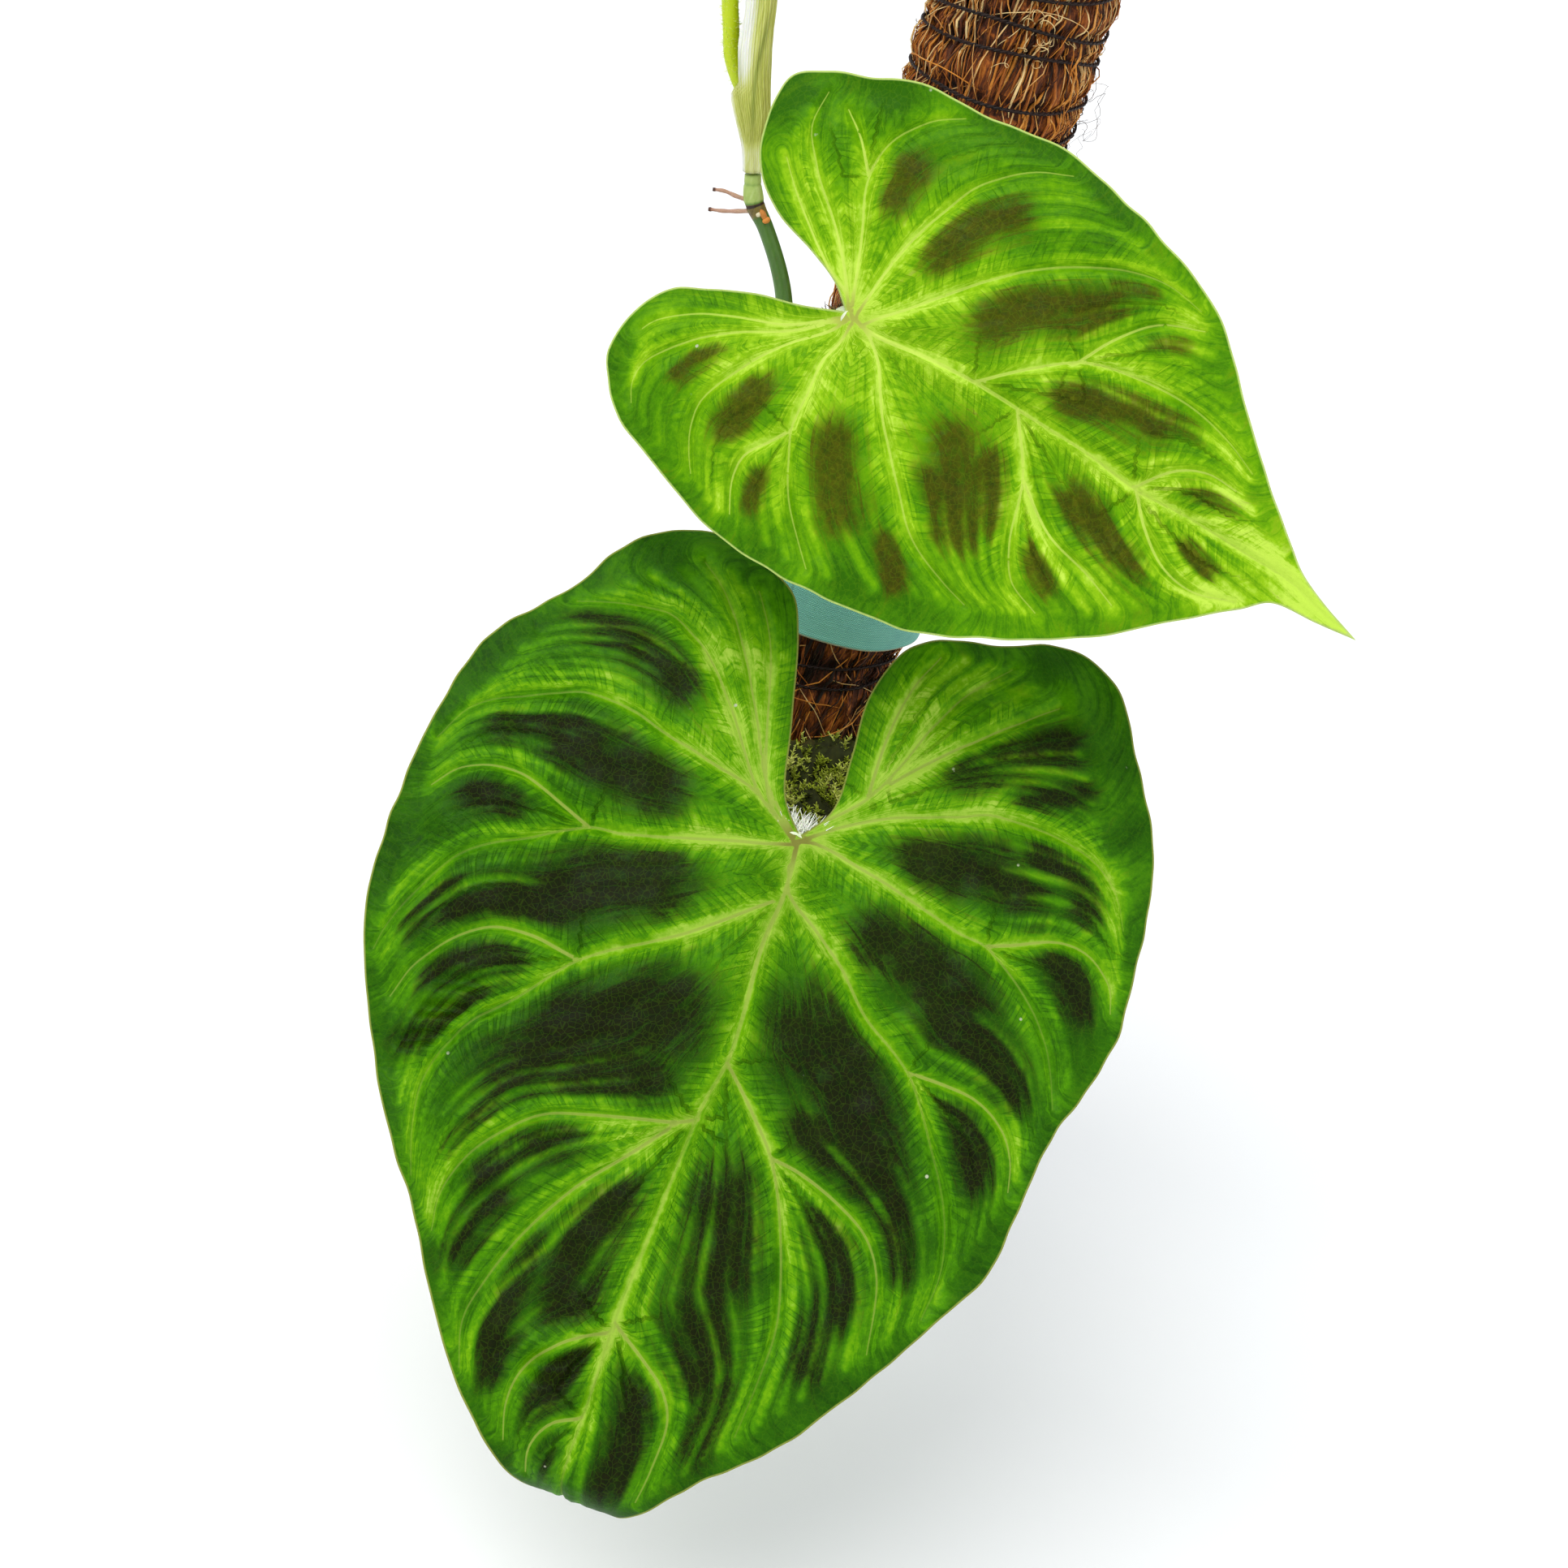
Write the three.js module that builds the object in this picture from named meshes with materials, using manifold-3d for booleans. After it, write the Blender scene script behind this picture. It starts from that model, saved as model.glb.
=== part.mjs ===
// Potted philodendron verrucosum on a coir pole, in millimetres, +Z up.
// The origin is the centre of the pot's underside, and -Y is the side that the leaves face.
import * as THREE from 'three';
import { mergeVertices } from 'three/addons/utils/BufferGeometryUtils.js';
import Module from 'manifold-3d';

const wasm = await Module();
wasm.setup();

// Driving dimensions

const FIT_GAP = 0.35;

const POT_HEIGHT = 140;
const POT_RIM_RADIUS = 70;
const POT_BASE_RADIUS = 57;
const POT_WALL = 3;
const POT_FLOOR = 4;
const LIP_HEIGHT = 11;
const LIP_PROUD = 2;
const DRAIN_COUNT = 6;
const DRAIN_RADIUS = 4.5;
const DRAIN_CIRCLE = 34;

const SOIL_LEVEL = 124;
const MOSS_RADIUS = 58;
const MOSS_THICKNESS = 5;
const MOSS_LUMP = 4.5;
const MOSS_HEAP = 4;

const POLE_Y = 34;
const CORE_RADIUS = 13;
const CORE_BOTTOM = 9;
const POLE_TOP = 386;
const COIR_RADIUS = 23.4;
const COIR_BOTTOM = 92;
const COIR_PINCH = 1.7;
const WIRE_PITCH = 17;
const WIRE_RADIUS = 0.5;
const WIRE_WINDING_RADIUS = 25.3;
const WIRE_BOTTOM = 140;

const BAND_BOTTOM = 165;
const BAND_WIDTH = 22;
const BAND_THICKNESS = 1.2;

const STEM_FOOT = new THREE.Vector3(-28.3, 20.8, 86);
const STEM_RADIUS = 3.2;
const STEM_TOP_RADIUS = 2.4;
const LOWER_NODE_HEIGHT = 141;
const UPPER_NODE_HEIGHT = 203;
const TOP_NODE = new THREE.Vector3(-50.4, 19, 274);

const BLADE_THICKNESS = 1;
const PLEAT_HEIGHT = 1.6;
const MARGIN_WAVE = 1.6;
const SHEATH_THICKNESS = 0.8;

// Each blade lies in its own frame: u runs across it, v from the junction towards the tip.
// junction is where the petiole meets it, along and facing are its midrib's and its face's directions.
// slopes are the midrib's dips, in degrees, at the two ends of span.
const LOWER_LEAF = {
  junction: [10, -123, 175],
  along: [-0.016, -0.666, -0.746],
  facing: [-0.007, -0.746, 0.666],
  slopes: [-9, 12],
  span: [-80, 150],
  curlStart: 144,
  curlRadius: 12,
  droopRadius: 900,
  apex: [1, -2.5],
  rightSinus: [[4, -10], [5, -25], [6, -41], [11, -54]],
  rightEdge: [[20, -60], [32, -64], [42, -68.5], [50, -69], [61, -63], [71, -46], [79, -30.5], [83, -13],
    [84, 4], [84, 19], [81, 32], [76, 47], [74, 65], [72, 78], [64, 92], [54, 109], [40, 128], [24, 143],
    [15, 155], [7, 166]],
  tip: [0, 176],
  leftEdge: [[-27, -63.5], [-40, -68.5], [-51, -65.5], [-62, -55], [-67, -45], [-78, -32], [-84, -22],
    [-87.5, -4], [-88.7, 15], [-88.6, 33], [-86.8, 46.3], [-80.8, 61.4], [-74, 75], [-64, 91],
    [-54, 104], [-43, 122],
    [-31, 138], [-18, 151], [-9, 160], [-3, 169]],
  leftSinus: [[-4, -10], [-9, -28], [-14, -48], [-18, -57]],
};

const UPPER_LEAF = {
  junction: [-13, -93, 287],
  along: [0.953, -0.252, -0.17],
  facing: [-0.18, -0.919, 0.352],
  slopes: [-8, 14],
  span: [-60, 130],
  curlStart: 500,
  curlRadius: 30,
  droopRadius: 700,
  apex: [1, -2.5],
  rightSinus: [[5, -8], [8, -16], [11, -27]],
  rightEdge: [[16, -35], [23, -39.5], [32, -41.5], [38, -41], [43, -34], [47, -24], [51, -15], [52, 0],
    [55, 20], [53, 32], [50, 46], [43, 66], [34, 77], [25, 87], [16, 98], [9.5, 107], [5, 114], [2.5, 121]],
  tip: [0, 130],
  leftEdge: [[-23, -44], [-34, -45], [-41, -40], [-46, -33], [-50, -21], [-55, -6], [-56, 8], [-55, 21],
    [-53, 34], [-50, 47], [-42, 63], [-30, 81], [-17, 95], [-8, 104.5], [-3, 110], [-1.5, 120]],
  leftSinus: [[-3, -12], [-6, -22], [-11, -33], [-15, -40]],
};

const HALF_TURN = Math.PI;
const FULL_TURN = 2 * Math.PI;

const colours = {
  pot: new THREE.MeshStandardMaterial({ color: 0xf1f1ee, roughness: 0.55, metalness: 0 }),
  soil: new THREE.MeshStandardMaterial({ color: 0x33231a, roughness: 1, metalness: 0 }),
  moss: new THREE.MeshStandardMaterial({ color: 0x6f7d1c, roughness: 0.95, metalness: 0 }),
  core: new THREE.MeshStandardMaterial({ color: 0x17191b, roughness: 0.6, metalness: 0 }),
  coir: new THREE.MeshStandardMaterial({ color: 0x84451a, roughness: 0.95, metalness: 0 }),
  wire: new THREE.MeshStandardMaterial({ color: 0x2a1712, roughness: 0.5, metalness: 0.4 }),
  band: new THREE.MeshStandardMaterial({ color: 0x4c9a90, roughness: 0.85, metalness: 0 }),
  stem: new THREE.MeshStandardMaterial({ color: 0x3f7d2a, roughness: 0.5, metalness: 0 }),
  petiole: new THREE.MeshStandardMaterial({ color: 0x7f9a4a, roughness: 0.6, metalness: 0 }),
  lowerBlade: new THREE.MeshStandardMaterial({ color: 0x1f6a12, roughness: 0.4, metalness: 0 }),
  upperBlade: new THREE.MeshStandardMaterial({ color: 0x4f9e12, roughness: 0.4, metalness: 0 }),
  sheath: new THREE.MeshStandardMaterial({ color: 0xd3dc8e, roughness: 0.6, metalness: 0 }),
  youngGrowth: new THREE.MeshStandardMaterial({ color: 0xa9c41a, roughness: 0.5, metalness: 0 }),
};

// Solids

function geometryOf(points, triangles) {
  const geometry = new THREE.BufferGeometry();
  geometry.setAttribute('position', new THREE.Float32BufferAttribute(points.flatMap((p) => p.toArray()), 3));
  geometry.setIndex(triangles);
  return closed(geometry);
}

// Shared corners are merged, faces without area are dropped, and the faces are turned outwards.
function closed(source) {
  source.deleteAttribute('normal');
  source.deleteAttribute('uv');
  const geometry = mergeVertices(source, 1e-4);
  const corner = (i) => new THREE.Vector3().fromBufferAttribute(geometry.attributes.position, i);
  const kept = [];
  let volume = 0;
  for (let i = 0; i < geometry.index.count; i += 3) {
    const [a, b, c] = [0, 1, 2].map((k) => geometry.index.getX(i + k));
    if (a === b || b === c || c === a) continue;
    kept.push([a, b, c]);
    volume += corner(a).dot(corner(b).cross(corner(c)));
  }
  geometry.setIndex(kept.flatMap(([a, b, c]) => (volume > 0 ? [a, b, c] : [a, c, b])));
  return geometry;
}

function toManifold(geometry) {
  const vertProperties = new Float32Array(geometry.attributes.position.array);
  const triVerts = new Uint32Array(geometry.index.array);
  return new wasm.Manifold(new wasm.Mesh({ numProp: 3, vertProperties, triVerts }));
}

function fromManifold(solid) {
  const { vertProperties, triVerts, numProp } = solid.getMesh();
  const points = [];
  for (let i = 0; i < vertProperties.length; i += numProp) {
    points.push(new THREE.Vector3(vertProperties[i], vertProperties[i + 1], vertProperties[i + 2]));
  }
  return geometryOf(points, Array.from(triVerts));
}

const cut = (body, ...tools) =>
  fromManifold(tools.reduce((solid, tool) => solid.subtract(toManifold(tool)), toManifold(body)));
const fuse = (body, ...others) =>
  fromManifold(others.reduce((solid, other) => solid.add(toManifold(other)), toManifold(body)));

// A profile of [radius, height] pairs that starts and ends on the axis, turned about +Z.
function turned(profile, sides, x = 0, y = 0) {
  const geometry = new THREE.LatheGeometry(profile.map(([r, z]) => new THREE.Vector2(r, z)), sides);
  geometry.rotateX(HALF_TURN / 2);
  geometry.translate(x, y, 0);
  return closed(geometry);
}

const rod = (radius, bottom, top, sides, x = 0, y = 0) =>
  turned([[0, bottom], [radius, bottom], [radius, top], [0, top]], sides, x, y);

// A closed body through rings of equally many points, with a fan over each end.
function loft(rings) {
  const sides = rings[0].length;
  const centre = (ring) => ring.reduce((sum, p) => sum.add(p), new THREE.Vector3()).divideScalar(sides);
  const points = [...rings.flat(), centre(rings[0]), centre(rings.at(-1))];
  const [first, last] = [points.length - 2, points.length - 1];
  const triangles = [];
  for (let j = 0; j < sides; j += 1) {
    const next = (j + 1) % sides;
    for (let i = 0; i + 1 < rings.length; i += 1) {
      const [a, b] = [i * sides + j, i * sides + next];
      triangles.push(a, b, b + sides, a, b + sides, a + sides);
    }
    const end = (rings.length - 1) * sides;
    triangles.push(first, next, j, last, end + j, end + next);
  }
  return geometryOf(points, triangles);
}

// A closed body along a curve. section gives the radius at t along it and an angle about it.
function swept(curve, steps, sides, section) {
  const frames = curve.computeFrenetFrames(steps, false);
  const rings = [];
  for (let i = 0; i <= steps; i += 1) {
    const t = i / steps;
    const centre = curve.getPointAt(t);
    const ring = [];
    for (let j = 0; j < sides; j += 1) {
      const angle = (FULL_TURN * j) / sides;
      const radius = section(t, angle);
      ring.push(centre.clone()
        .addScaledVector(frames.normals[i], radius * Math.cos(angle))
        .addScaledVector(frames.binormals[i], radius * Math.sin(angle)));
    }
    rings.push(ring);
  }
  return loft(rings);
}

// A thin closed body between two grids of points, split into triangles alike on both.
// A round grid's last column repeats its first, so it has no walls there.
function slab(front, back, round = false) {
  const [rows, columns] = [front.length, front[0].length];
  const points = [...front.flat(), ...back.flat()];
  const behind = rows * columns;
  const at = (i, j) => i * columns + j;
  const triangles = [];
  const wall = (a, b) => triangles.push(a, b + behind, a + behind, a, b, b + behind);
  for (let i = 0; i + 1 < rows; i += 1) {
    for (let j = 0; j + 1 < columns; j += 1) {
      const [a, b, c, d] = [at(i, j), at(i, j + 1), at(i + 1, j + 1), at(i + 1, j)];
      triangles.push(a, b, c, a, c, d);
      triangles.push(a + behind, c + behind, b + behind, a + behind, d + behind, c + behind);
    }
    if (round) continue;
    wall(at(i, 0), at(i + 1, 0));
    wall(at(i + 1, columns - 1), at(i, columns - 1));
  }
  for (let j = 0; j + 1 < columns; j += 1) {
    wall(at(0, j + 1), at(0, j));
    wall(at(rows - 1, j), at(rows - 1, j + 1));
  }
  return geometryOf(points, triangles);
}

const smoothLine = (points) =>
  new THREE.CatmullRomCurve3(points.map((p) => new THREE.Vector3(...p)), false, 'centripetal');

// Pot

const potOuter = (z) => POT_BASE_RADIUS + (POT_RIM_RADIUS - LIP_PROUD - POT_BASE_RADIUS) * (z / POT_HEIGHT);
const potInner = (z) => potOuter(z) - POT_WALL;

function potSolid() {
  const lipBottom = POT_HEIGHT - LIP_HEIGHT;
  const edge = 1.2;
  const body = turned([
    [0, 0],
    [POT_BASE_RADIUS - edge, 0],
    [potOuter(edge), edge],
    [potOuter(lipBottom), lipBottom],
    [POT_RIM_RADIUS - edge, lipBottom],
    [POT_RIM_RADIUS, lipBottom + edge],
    [POT_RIM_RADIUS, POT_HEIGHT - edge],
    [POT_RIM_RADIUS - edge, POT_HEIGHT],
    [potInner(POT_HEIGHT) + edge, POT_HEIGHT],
    [potInner(POT_HEIGHT - edge), POT_HEIGHT - edge],
    [potInner(POT_FLOOR), POT_FLOOR],
    [0, POT_FLOOR],
  ], 40);
  const drains = [];
  for (let i = 0; i < DRAIN_COUNT; i += 1) {
    const angle = (FULL_TURN * i) / DRAIN_COUNT;
    const [x, y] = [DRAIN_CIRCLE * Math.cos(angle), DRAIN_CIRCLE * Math.sin(angle)];
    drains.push(rod(DRAIN_RADIUS, -1, POT_FLOOR + 1, 12, x, y));
  }
  return cut(body, ...drains);
}

// Potting mix and moss, with plain holes for the pole and the stem

const COIR_HOLE_RADIUS = 25.4;
const STEM_HOLE_RADIUS = STEM_RADIUS + FIT_GAP;

const holeForCoir = (bottom, top) => rod(COIR_HOLE_RADIUS, bottom, top, 32, 0, POLE_Y);
const holeForStem = (bottom, top) => rod(STEM_HOLE_RADIUS, bottom, top, 16, STEM_FOOT.x, STEM_FOOT.y);

function soilSolid() {
  const bottom = POT_FLOOR + FIT_GAP;
  const body = turned([
    [0, bottom],
    [potInner(bottom) - FIT_GAP, bottom],
    [potInner(SOIL_LEVEL) - FIT_GAP, SOIL_LEVEL],
    [0, SOIL_LEVEL],
  ], 40);
  return cut(
    body,
    holeForCoir(COIR_BOTTOM - FIT_GAP, SOIL_LEVEL + 1),
    rod(CORE_RADIUS + FIT_GAP, CORE_BOTTOM - FIT_GAP, SOIL_LEVEL, 32, 0, POLE_Y),
    holeForStem(STEM_FOOT.z - FIT_GAP, SOIL_LEVEL + 1),
  );
}

// The carpet's height is a sum of slow waves, higher against the pole and thin at its ragged edge.
function mossHeight(x, y) {
  const lumps = Math.sin(0.31 * x + 0.5) * Math.cos(0.27 * y) + 0.6 * Math.sin(0.19 * x - 0.23 * y + 1.7);
  const heap = MOSS_HEAP * Math.exp(-((Math.hypot(x, y - POLE_Y) - COIR_HOLE_RADIUS) / 14));
  return MOSS_THICKNESS + 0.5 * MOSS_LUMP * lumps + Math.min(heap, MOSS_HEAP);
}

function mossSolid() {
  const [rings, sides] = [8, 34];
  const bottom = SOIL_LEVEL + FIT_GAP;
  const rows = [[], []];
  for (let i = 0; i <= rings; i += 1) {
    const [front, back] = [[], []];
    for (let j = 0; j < sides; j += 1) {
      const angle = (FULL_TURN * j) / sides;
      const reach = (i / rings) * (MOSS_RADIUS + 2 * Math.sin(5 * angle) - 1.5 * Math.sin(8 * angle + 1));
      const [x, y] = [reach * Math.cos(angle), reach * Math.sin(angle)];
      const height = i === rings ? 1.5 : mossHeight(x, y);
      front.push(new THREE.Vector3(x, y, bottom + height));
      back.push(new THREE.Vector3(x, y, bottom));
    }
    rows[0].push([...front, front[0]]);
    rows[1].push([...back, back[0]]);
  }
  const top = POT_HEIGHT + 10;
  return cut(slab(...rows, true), holeForCoir(bottom - 1, top), holeForStem(bottom - 1, top));
}

// Coir pole: a stake, the fibre wrapped round it and the wire that binds the fibre

// How far a point is from the wire's winding, from 0 on the wire to 1 midway between its turns.
function offWire(angle, z) {
  const turns = (z - WIRE_BOTTOM) / WIRE_PITCH - angle / FULL_TURN;
  return 2 * Math.abs(turns - Math.round(turns));
}

function coirRadius(angle, z) {
  const hanks = 0.5 * Math.sin(7 * angle + 0.02 * z) + 0.3 * Math.sin(12 * angle - 0.05 * z + 1);
  const pinch = z < WIRE_BOTTOM ? 0 : COIR_PINCH * (1 - offWire(angle, z)) ** 2;
  const rounding = 4 * Math.max(0, 1 - (POLE_TOP - z) / 8) ** 2;
  return COIR_RADIUS + hanks - pinch - rounding;
}

function coirSolid() {
  const sides = 28;
  const rings = 40;
  const rows = [];
  for (let i = 0; i <= rings; i += 1) {
    const z = COIR_BOTTOM + ((POLE_TOP - COIR_BOTTOM) * i) / rings;
    const row = [];
    for (let j = 0; j < sides; j += 1) {
      const angle = (FULL_TURN * j) / sides;
      const radius = coirRadius(angle, z);
      row.push(new THREE.Vector3(radius * Math.cos(angle), POLE_Y + radius * Math.sin(angle), z));
    }
    rows.push(row);
  }
  return cut(loft(rows), rod(CORE_RADIUS + FIT_GAP, COIR_BOTTOM - 1, POLE_TOP + 1, 24, 0, POLE_Y));
}

function wireSolid() {
  const turns = Math.floor((POLE_TOP - 6 - WIRE_BOTTOM) / WIRE_PITCH);
  const stepsPerTurn = 18;
  class Winding extends THREE.Curve {
    getPoint(t, target = new THREE.Vector3()) {
      const angle = FULL_TURN * turns * t;
      return target.set(
        WIRE_WINDING_RADIUS * Math.cos(angle),
        POLE_Y + WIRE_WINDING_RADIUS * Math.sin(angle),
        WIRE_BOTTOM + WIRE_PITCH * turns * t,
      );
    }
  }
  const steps = turns * stepsPerTurn;
  return swept(new Winding(), steps, 3, () => WIRE_RADIUS);
}

// The band's inner outline is a belt round two circles: the wired pole and the stem beside it.
function bandSolid() {
  const pole = { x: 0, y: POLE_Y, r: WIRE_WINDING_RADIUS + WIRE_RADIUS + FIT_GAP };
  const stem = { x: STEM_FOOT.x, y: STEM_FOOT.y, r: STEM_RADIUS + FIT_GAP };
  const distance = Math.hypot(stem.x - pole.x, stem.y - pole.y);
  const heading = Math.atan2(stem.y - pole.y, stem.x - pole.x);
  const lean = Math.acos((pole.r - stem.r) / distance);
  const belt = (offset) => {
    const path = [];
    const arc = (circle, from, to, steps) => {
      for (let i = 0; i <= steps; i += 1) {
        const angle = from + ((to - from) * i) / steps;
        const reach = circle.r + offset;
        path.push(new THREE.Vector2(circle.x + reach * Math.cos(angle), circle.y + reach * Math.sin(angle)));
      }
    };
    arc(pole, heading + lean, heading + FULL_TURN - lean, 30);
    arc(stem, heading - lean, heading + lean, 8);
    return path;
  };
  const outline = new THREE.Shape(belt(BAND_THICKNESS));
  outline.holes.push(new THREE.Path(belt(0)));
  const geometry = new THREE.ExtrudeGeometry(outline, { depth: BAND_WIDTH, bevelEnabled: false });
  geometry.translate(0, 0, BAND_BOTTOM);
  return closed(geometry);
}

// Stem with its swollen nodes and the two aerial roots at the top one

const STEM_LINE = smoothLine([
  STEM_FOOT.toArray(),
  [STEM_FOOT.x, STEM_FOOT.y, 130],
  [STEM_FOOT.x, STEM_FOOT.y, 170],
  [STEM_FOOT.x, STEM_FOOT.y, 207],
  [-29.8, 20.4, 228],
  [-34.8, 19.4, 249],
  [-38.6, 19.2, 257.5],
  [-45.4, TOP_NODE.y, 267.8],
  [-49.4, TOP_NODE.y, 272.4],
  [-51, TOP_NODE.y, TOP_NODE.z + 1.9],
  [-52.1, TOP_NODE.y, TOP_NODE.z + 5.9],
]);
const NODE_SWELL = 0.55;
const NODE_HALF_LENGTH = 3.5;
const BETWEEN_NODES = 0.35;
const TAPER_START = 200;
const TAPER_LENGTH = 60;

function stemRadius(t) {
  const z = STEM_LINE.getPointAt(t).z;
  const share = THREE.MathUtils.clamp((z - TAPER_START) / TAPER_LENGTH, 0, 1);
  const taper = THREE.MathUtils.lerp(STEM_RADIUS, STEM_TOP_RADIUS, share);
  const swell = (height) => NODE_SWELL * Math.exp(-(((z - height) / NODE_HALF_LENGTH) ** 2));
  return taper - BETWEEN_NODES + swell(UPPER_NODE_HEIGHT) + swell(LOWER_NODE_HEIGHT) + swell(TOP_NODE.z);
}

function stemSolid() {
  const stem = swept(STEM_LINE, 44, 10, stemRadius);
  const rootLines = [
    [[-51, 19, 273], [-54.6, 18.7, 273.1], [-58, 18.4, 273.5], [-61, 18, 273.1]],
    [[-49.4, 19, 270.8], [-52.7, 19.2, 269.5], [-57, 19.4, 268.1], [-60.8, 19.6, 267.3]],
  ];
  const rootRadius = (t) => THREE.MathUtils.lerp(0.65, 0.42, t);
  const roots = rootLines.map((line) => swept(smoothLine(line), 8, 6, rootRadius));
  return fuse(stem, ...roots);
}

// Blades

// A blade's surface: takes u, v and a lift off the surface, and gives the point.
function bladeSurface(leaf) {
  const along = new THREE.Vector3(...leaf.along).normalize();
  const facing = new THREE.Vector3(...leaf.facing).normalize();
  const across = new THREE.Vector3().crossVectors(facing, along);
  const junction = new THREE.Vector3(...leaf.junction);
  const dip = (v) => {
    const share = (v - leaf.span[0]) / (leaf.span[1] - leaf.span[0]);
    const arch = THREE.MathUtils.degToRad(THREE.MathUtils.lerp(...leaf.slopes, share));
    return arch + Math.max(0, v - leaf.curlStart) / leaf.curlRadius;
  };
  const midrib = (v) => {
    const steps = Math.ceil(Math.abs(v)) || 1;
    const step = v / steps;
    let [reach, height] = [0, 0];
    for (let i = 0; i < steps; i += 1) {
      const slope = dip((i + 0.5) * step);
      reach += step * Math.cos(slope);
      height -= step * Math.sin(slope);
    }
    return [reach, height, dip(v)];
  };
  return (u, v, lift) => {
    const [reach, height, slope] = midrib(v);
    const off = lift - (u * u) / (2 * leaf.droopRadius);
    return junction.clone()
      .addScaledVector(across, u)
      .addScaledVector(along, reach + off * Math.sin(slope))
      .addScaledVector(facing, height + off * Math.cos(slope));
  };
}

// The blade is a fan of rays from the bottom of its sinus. The first and the last ray are the sinus's
// two edges, and their bend fades out over the rays beside them.
function bladeSolid(leaf) {
  const surface = bladeSurface(leaf);
  const rings = [0, 0.13, 0.27, 0.42, 0.58, 0.74, 0.88, 1];
  const flat = (points) => smoothLine(points.map(([u, v]) => [u, v, 0]));
  const arc = [...leaf.rightEdge, leaf.tip, ...leaf.leftEdge.toReversed()];
  const outer = flat(arc).getPoints((arc.length - 1) * 2);
  const apex = new THREE.Vector3(...leaf.apex, 0);
  const firstRay = flat([leaf.apex, ...leaf.rightSinus, leaf.rightEdge[0]]);
  const lastRay = flat([leaf.apex, ...leaf.leftSinus, leaf.leftEdge[0]]);
  const bend = (ray, r) => ray.getPoint(r).sub(apex.clone().lerp(ray.getPoint(1), r));
  const fade = (share) => Math.max(0, 1 - 3 * share) ** 2;
  const [front, back] = [[], []];
  outer.forEach((end, k) => {
    const share = k / (outer.length - 1);
    const pleat = 0.5 - 0.5 * Math.cos((FULL_TURN * k) / 6);
    const wave = Math.sin((FULL_TURN * k) / 9);
    const onMidrib = Math.exp(-(((k - 2 * leaf.rightEdge.length) / 4) ** 2));
    const points = rings.map((r) => {
      const spot = apex.clone().lerp(end, r)
        .addScaledVector(bend(firstRay, r), fade(share))
        .addScaledVector(bend(lastRay, r), fade(1 - share));
      const quilt = PLEAT_HEIGHT * pleat * Math.sin(HALF_TURN * r ** 0.8) ** 2;
      const lift = (quilt + MARGIN_WAVE * r ** 3 * wave) * (1 - onMidrib);
      return [spot, lift];
    });
    front.push(points.map(([p, lift]) => surface(p.x, p.y, lift + BLADE_THICKNESS / 2)));
    back.push(points.map(([p, lift]) => surface(p.x, p.y, lift - BLADE_THICKNESS / 2)));
  });
  return slab(front, back);
}

// Petioles: the last point lies behind the blade's junction, short of its back

const petioleSection = (base, end) => (t) => THREE.MathUtils.lerp(base, end, Math.min(1, 2.5 * t));

function behindJunction(leaf, depth, back) {
  return new THREE.Vector3(...leaf.junction)
    .addScaledVector(new THREE.Vector3(...leaf.facing), -depth)
    .addScaledVector(new THREE.Vector3(...leaf.along), -back)
    .toArray();
}

const LOWER_PETIOLE_LINE = smoothLine([
  [STEM_FOOT.x - 0.6, 16.7, LOWER_NODE_HEIGHT + 1],
  [-30, 4, 144],
  [-30, -25, 151],
  [-26, -62, 161],
  [-16, -97, 172],
  [-3, -115, 177],
  behindJunction(LOWER_LEAF, 5, 3.5),
  behindJunction(LOWER_LEAF, 2.3, 1),
]);

const UPPER_PETIOLE_LINE = smoothLine([
  [STEM_FOOT.x, 15.4, UPPER_NODE_HEIGHT + 1],
  [-28.8, 2, 213],
  [-27.5, -22, 230],
  [-24.5, -48, 249],
  [-21, -68, 264],
  [-18, -80, 275],
  behindJunction(UPPER_LEAF, 5, 3.5),
  behindJunction(UPPER_LEAF, 2.3, 1),
]);

// New growth: a sheath closed round the young petiole at its foot and open towards -X above,
// and a leaf still rolled up. Each station is x, z and radius.

const SHEATH_STATIONS = [
  [-52.3, 280.6, 2.6],
  [-53.2, 284, 2.75],
  [-54.3, 288, 3.2],
  [-55.7, 293, 4.3],
  [-57.9, 298.5, 5],
  [-59.3, 302.5, 5.2],
  [-61.2, 310, 5.3],
  [-63.2, 322, 5.3],
  [-66, 334, 4.6],
  [-69, 346, 3.2],
  [-71.5, 356, 1.2],
];
const SHEATH_Y = 19;
const SHEATH_CLOSED = THREE.MathUtils.degToRad(174);
const SHEATH_OPEN = THREE.MathUtils.degToRad(112);
const SHEATH_MOUTH = [298, 303.5];

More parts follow.
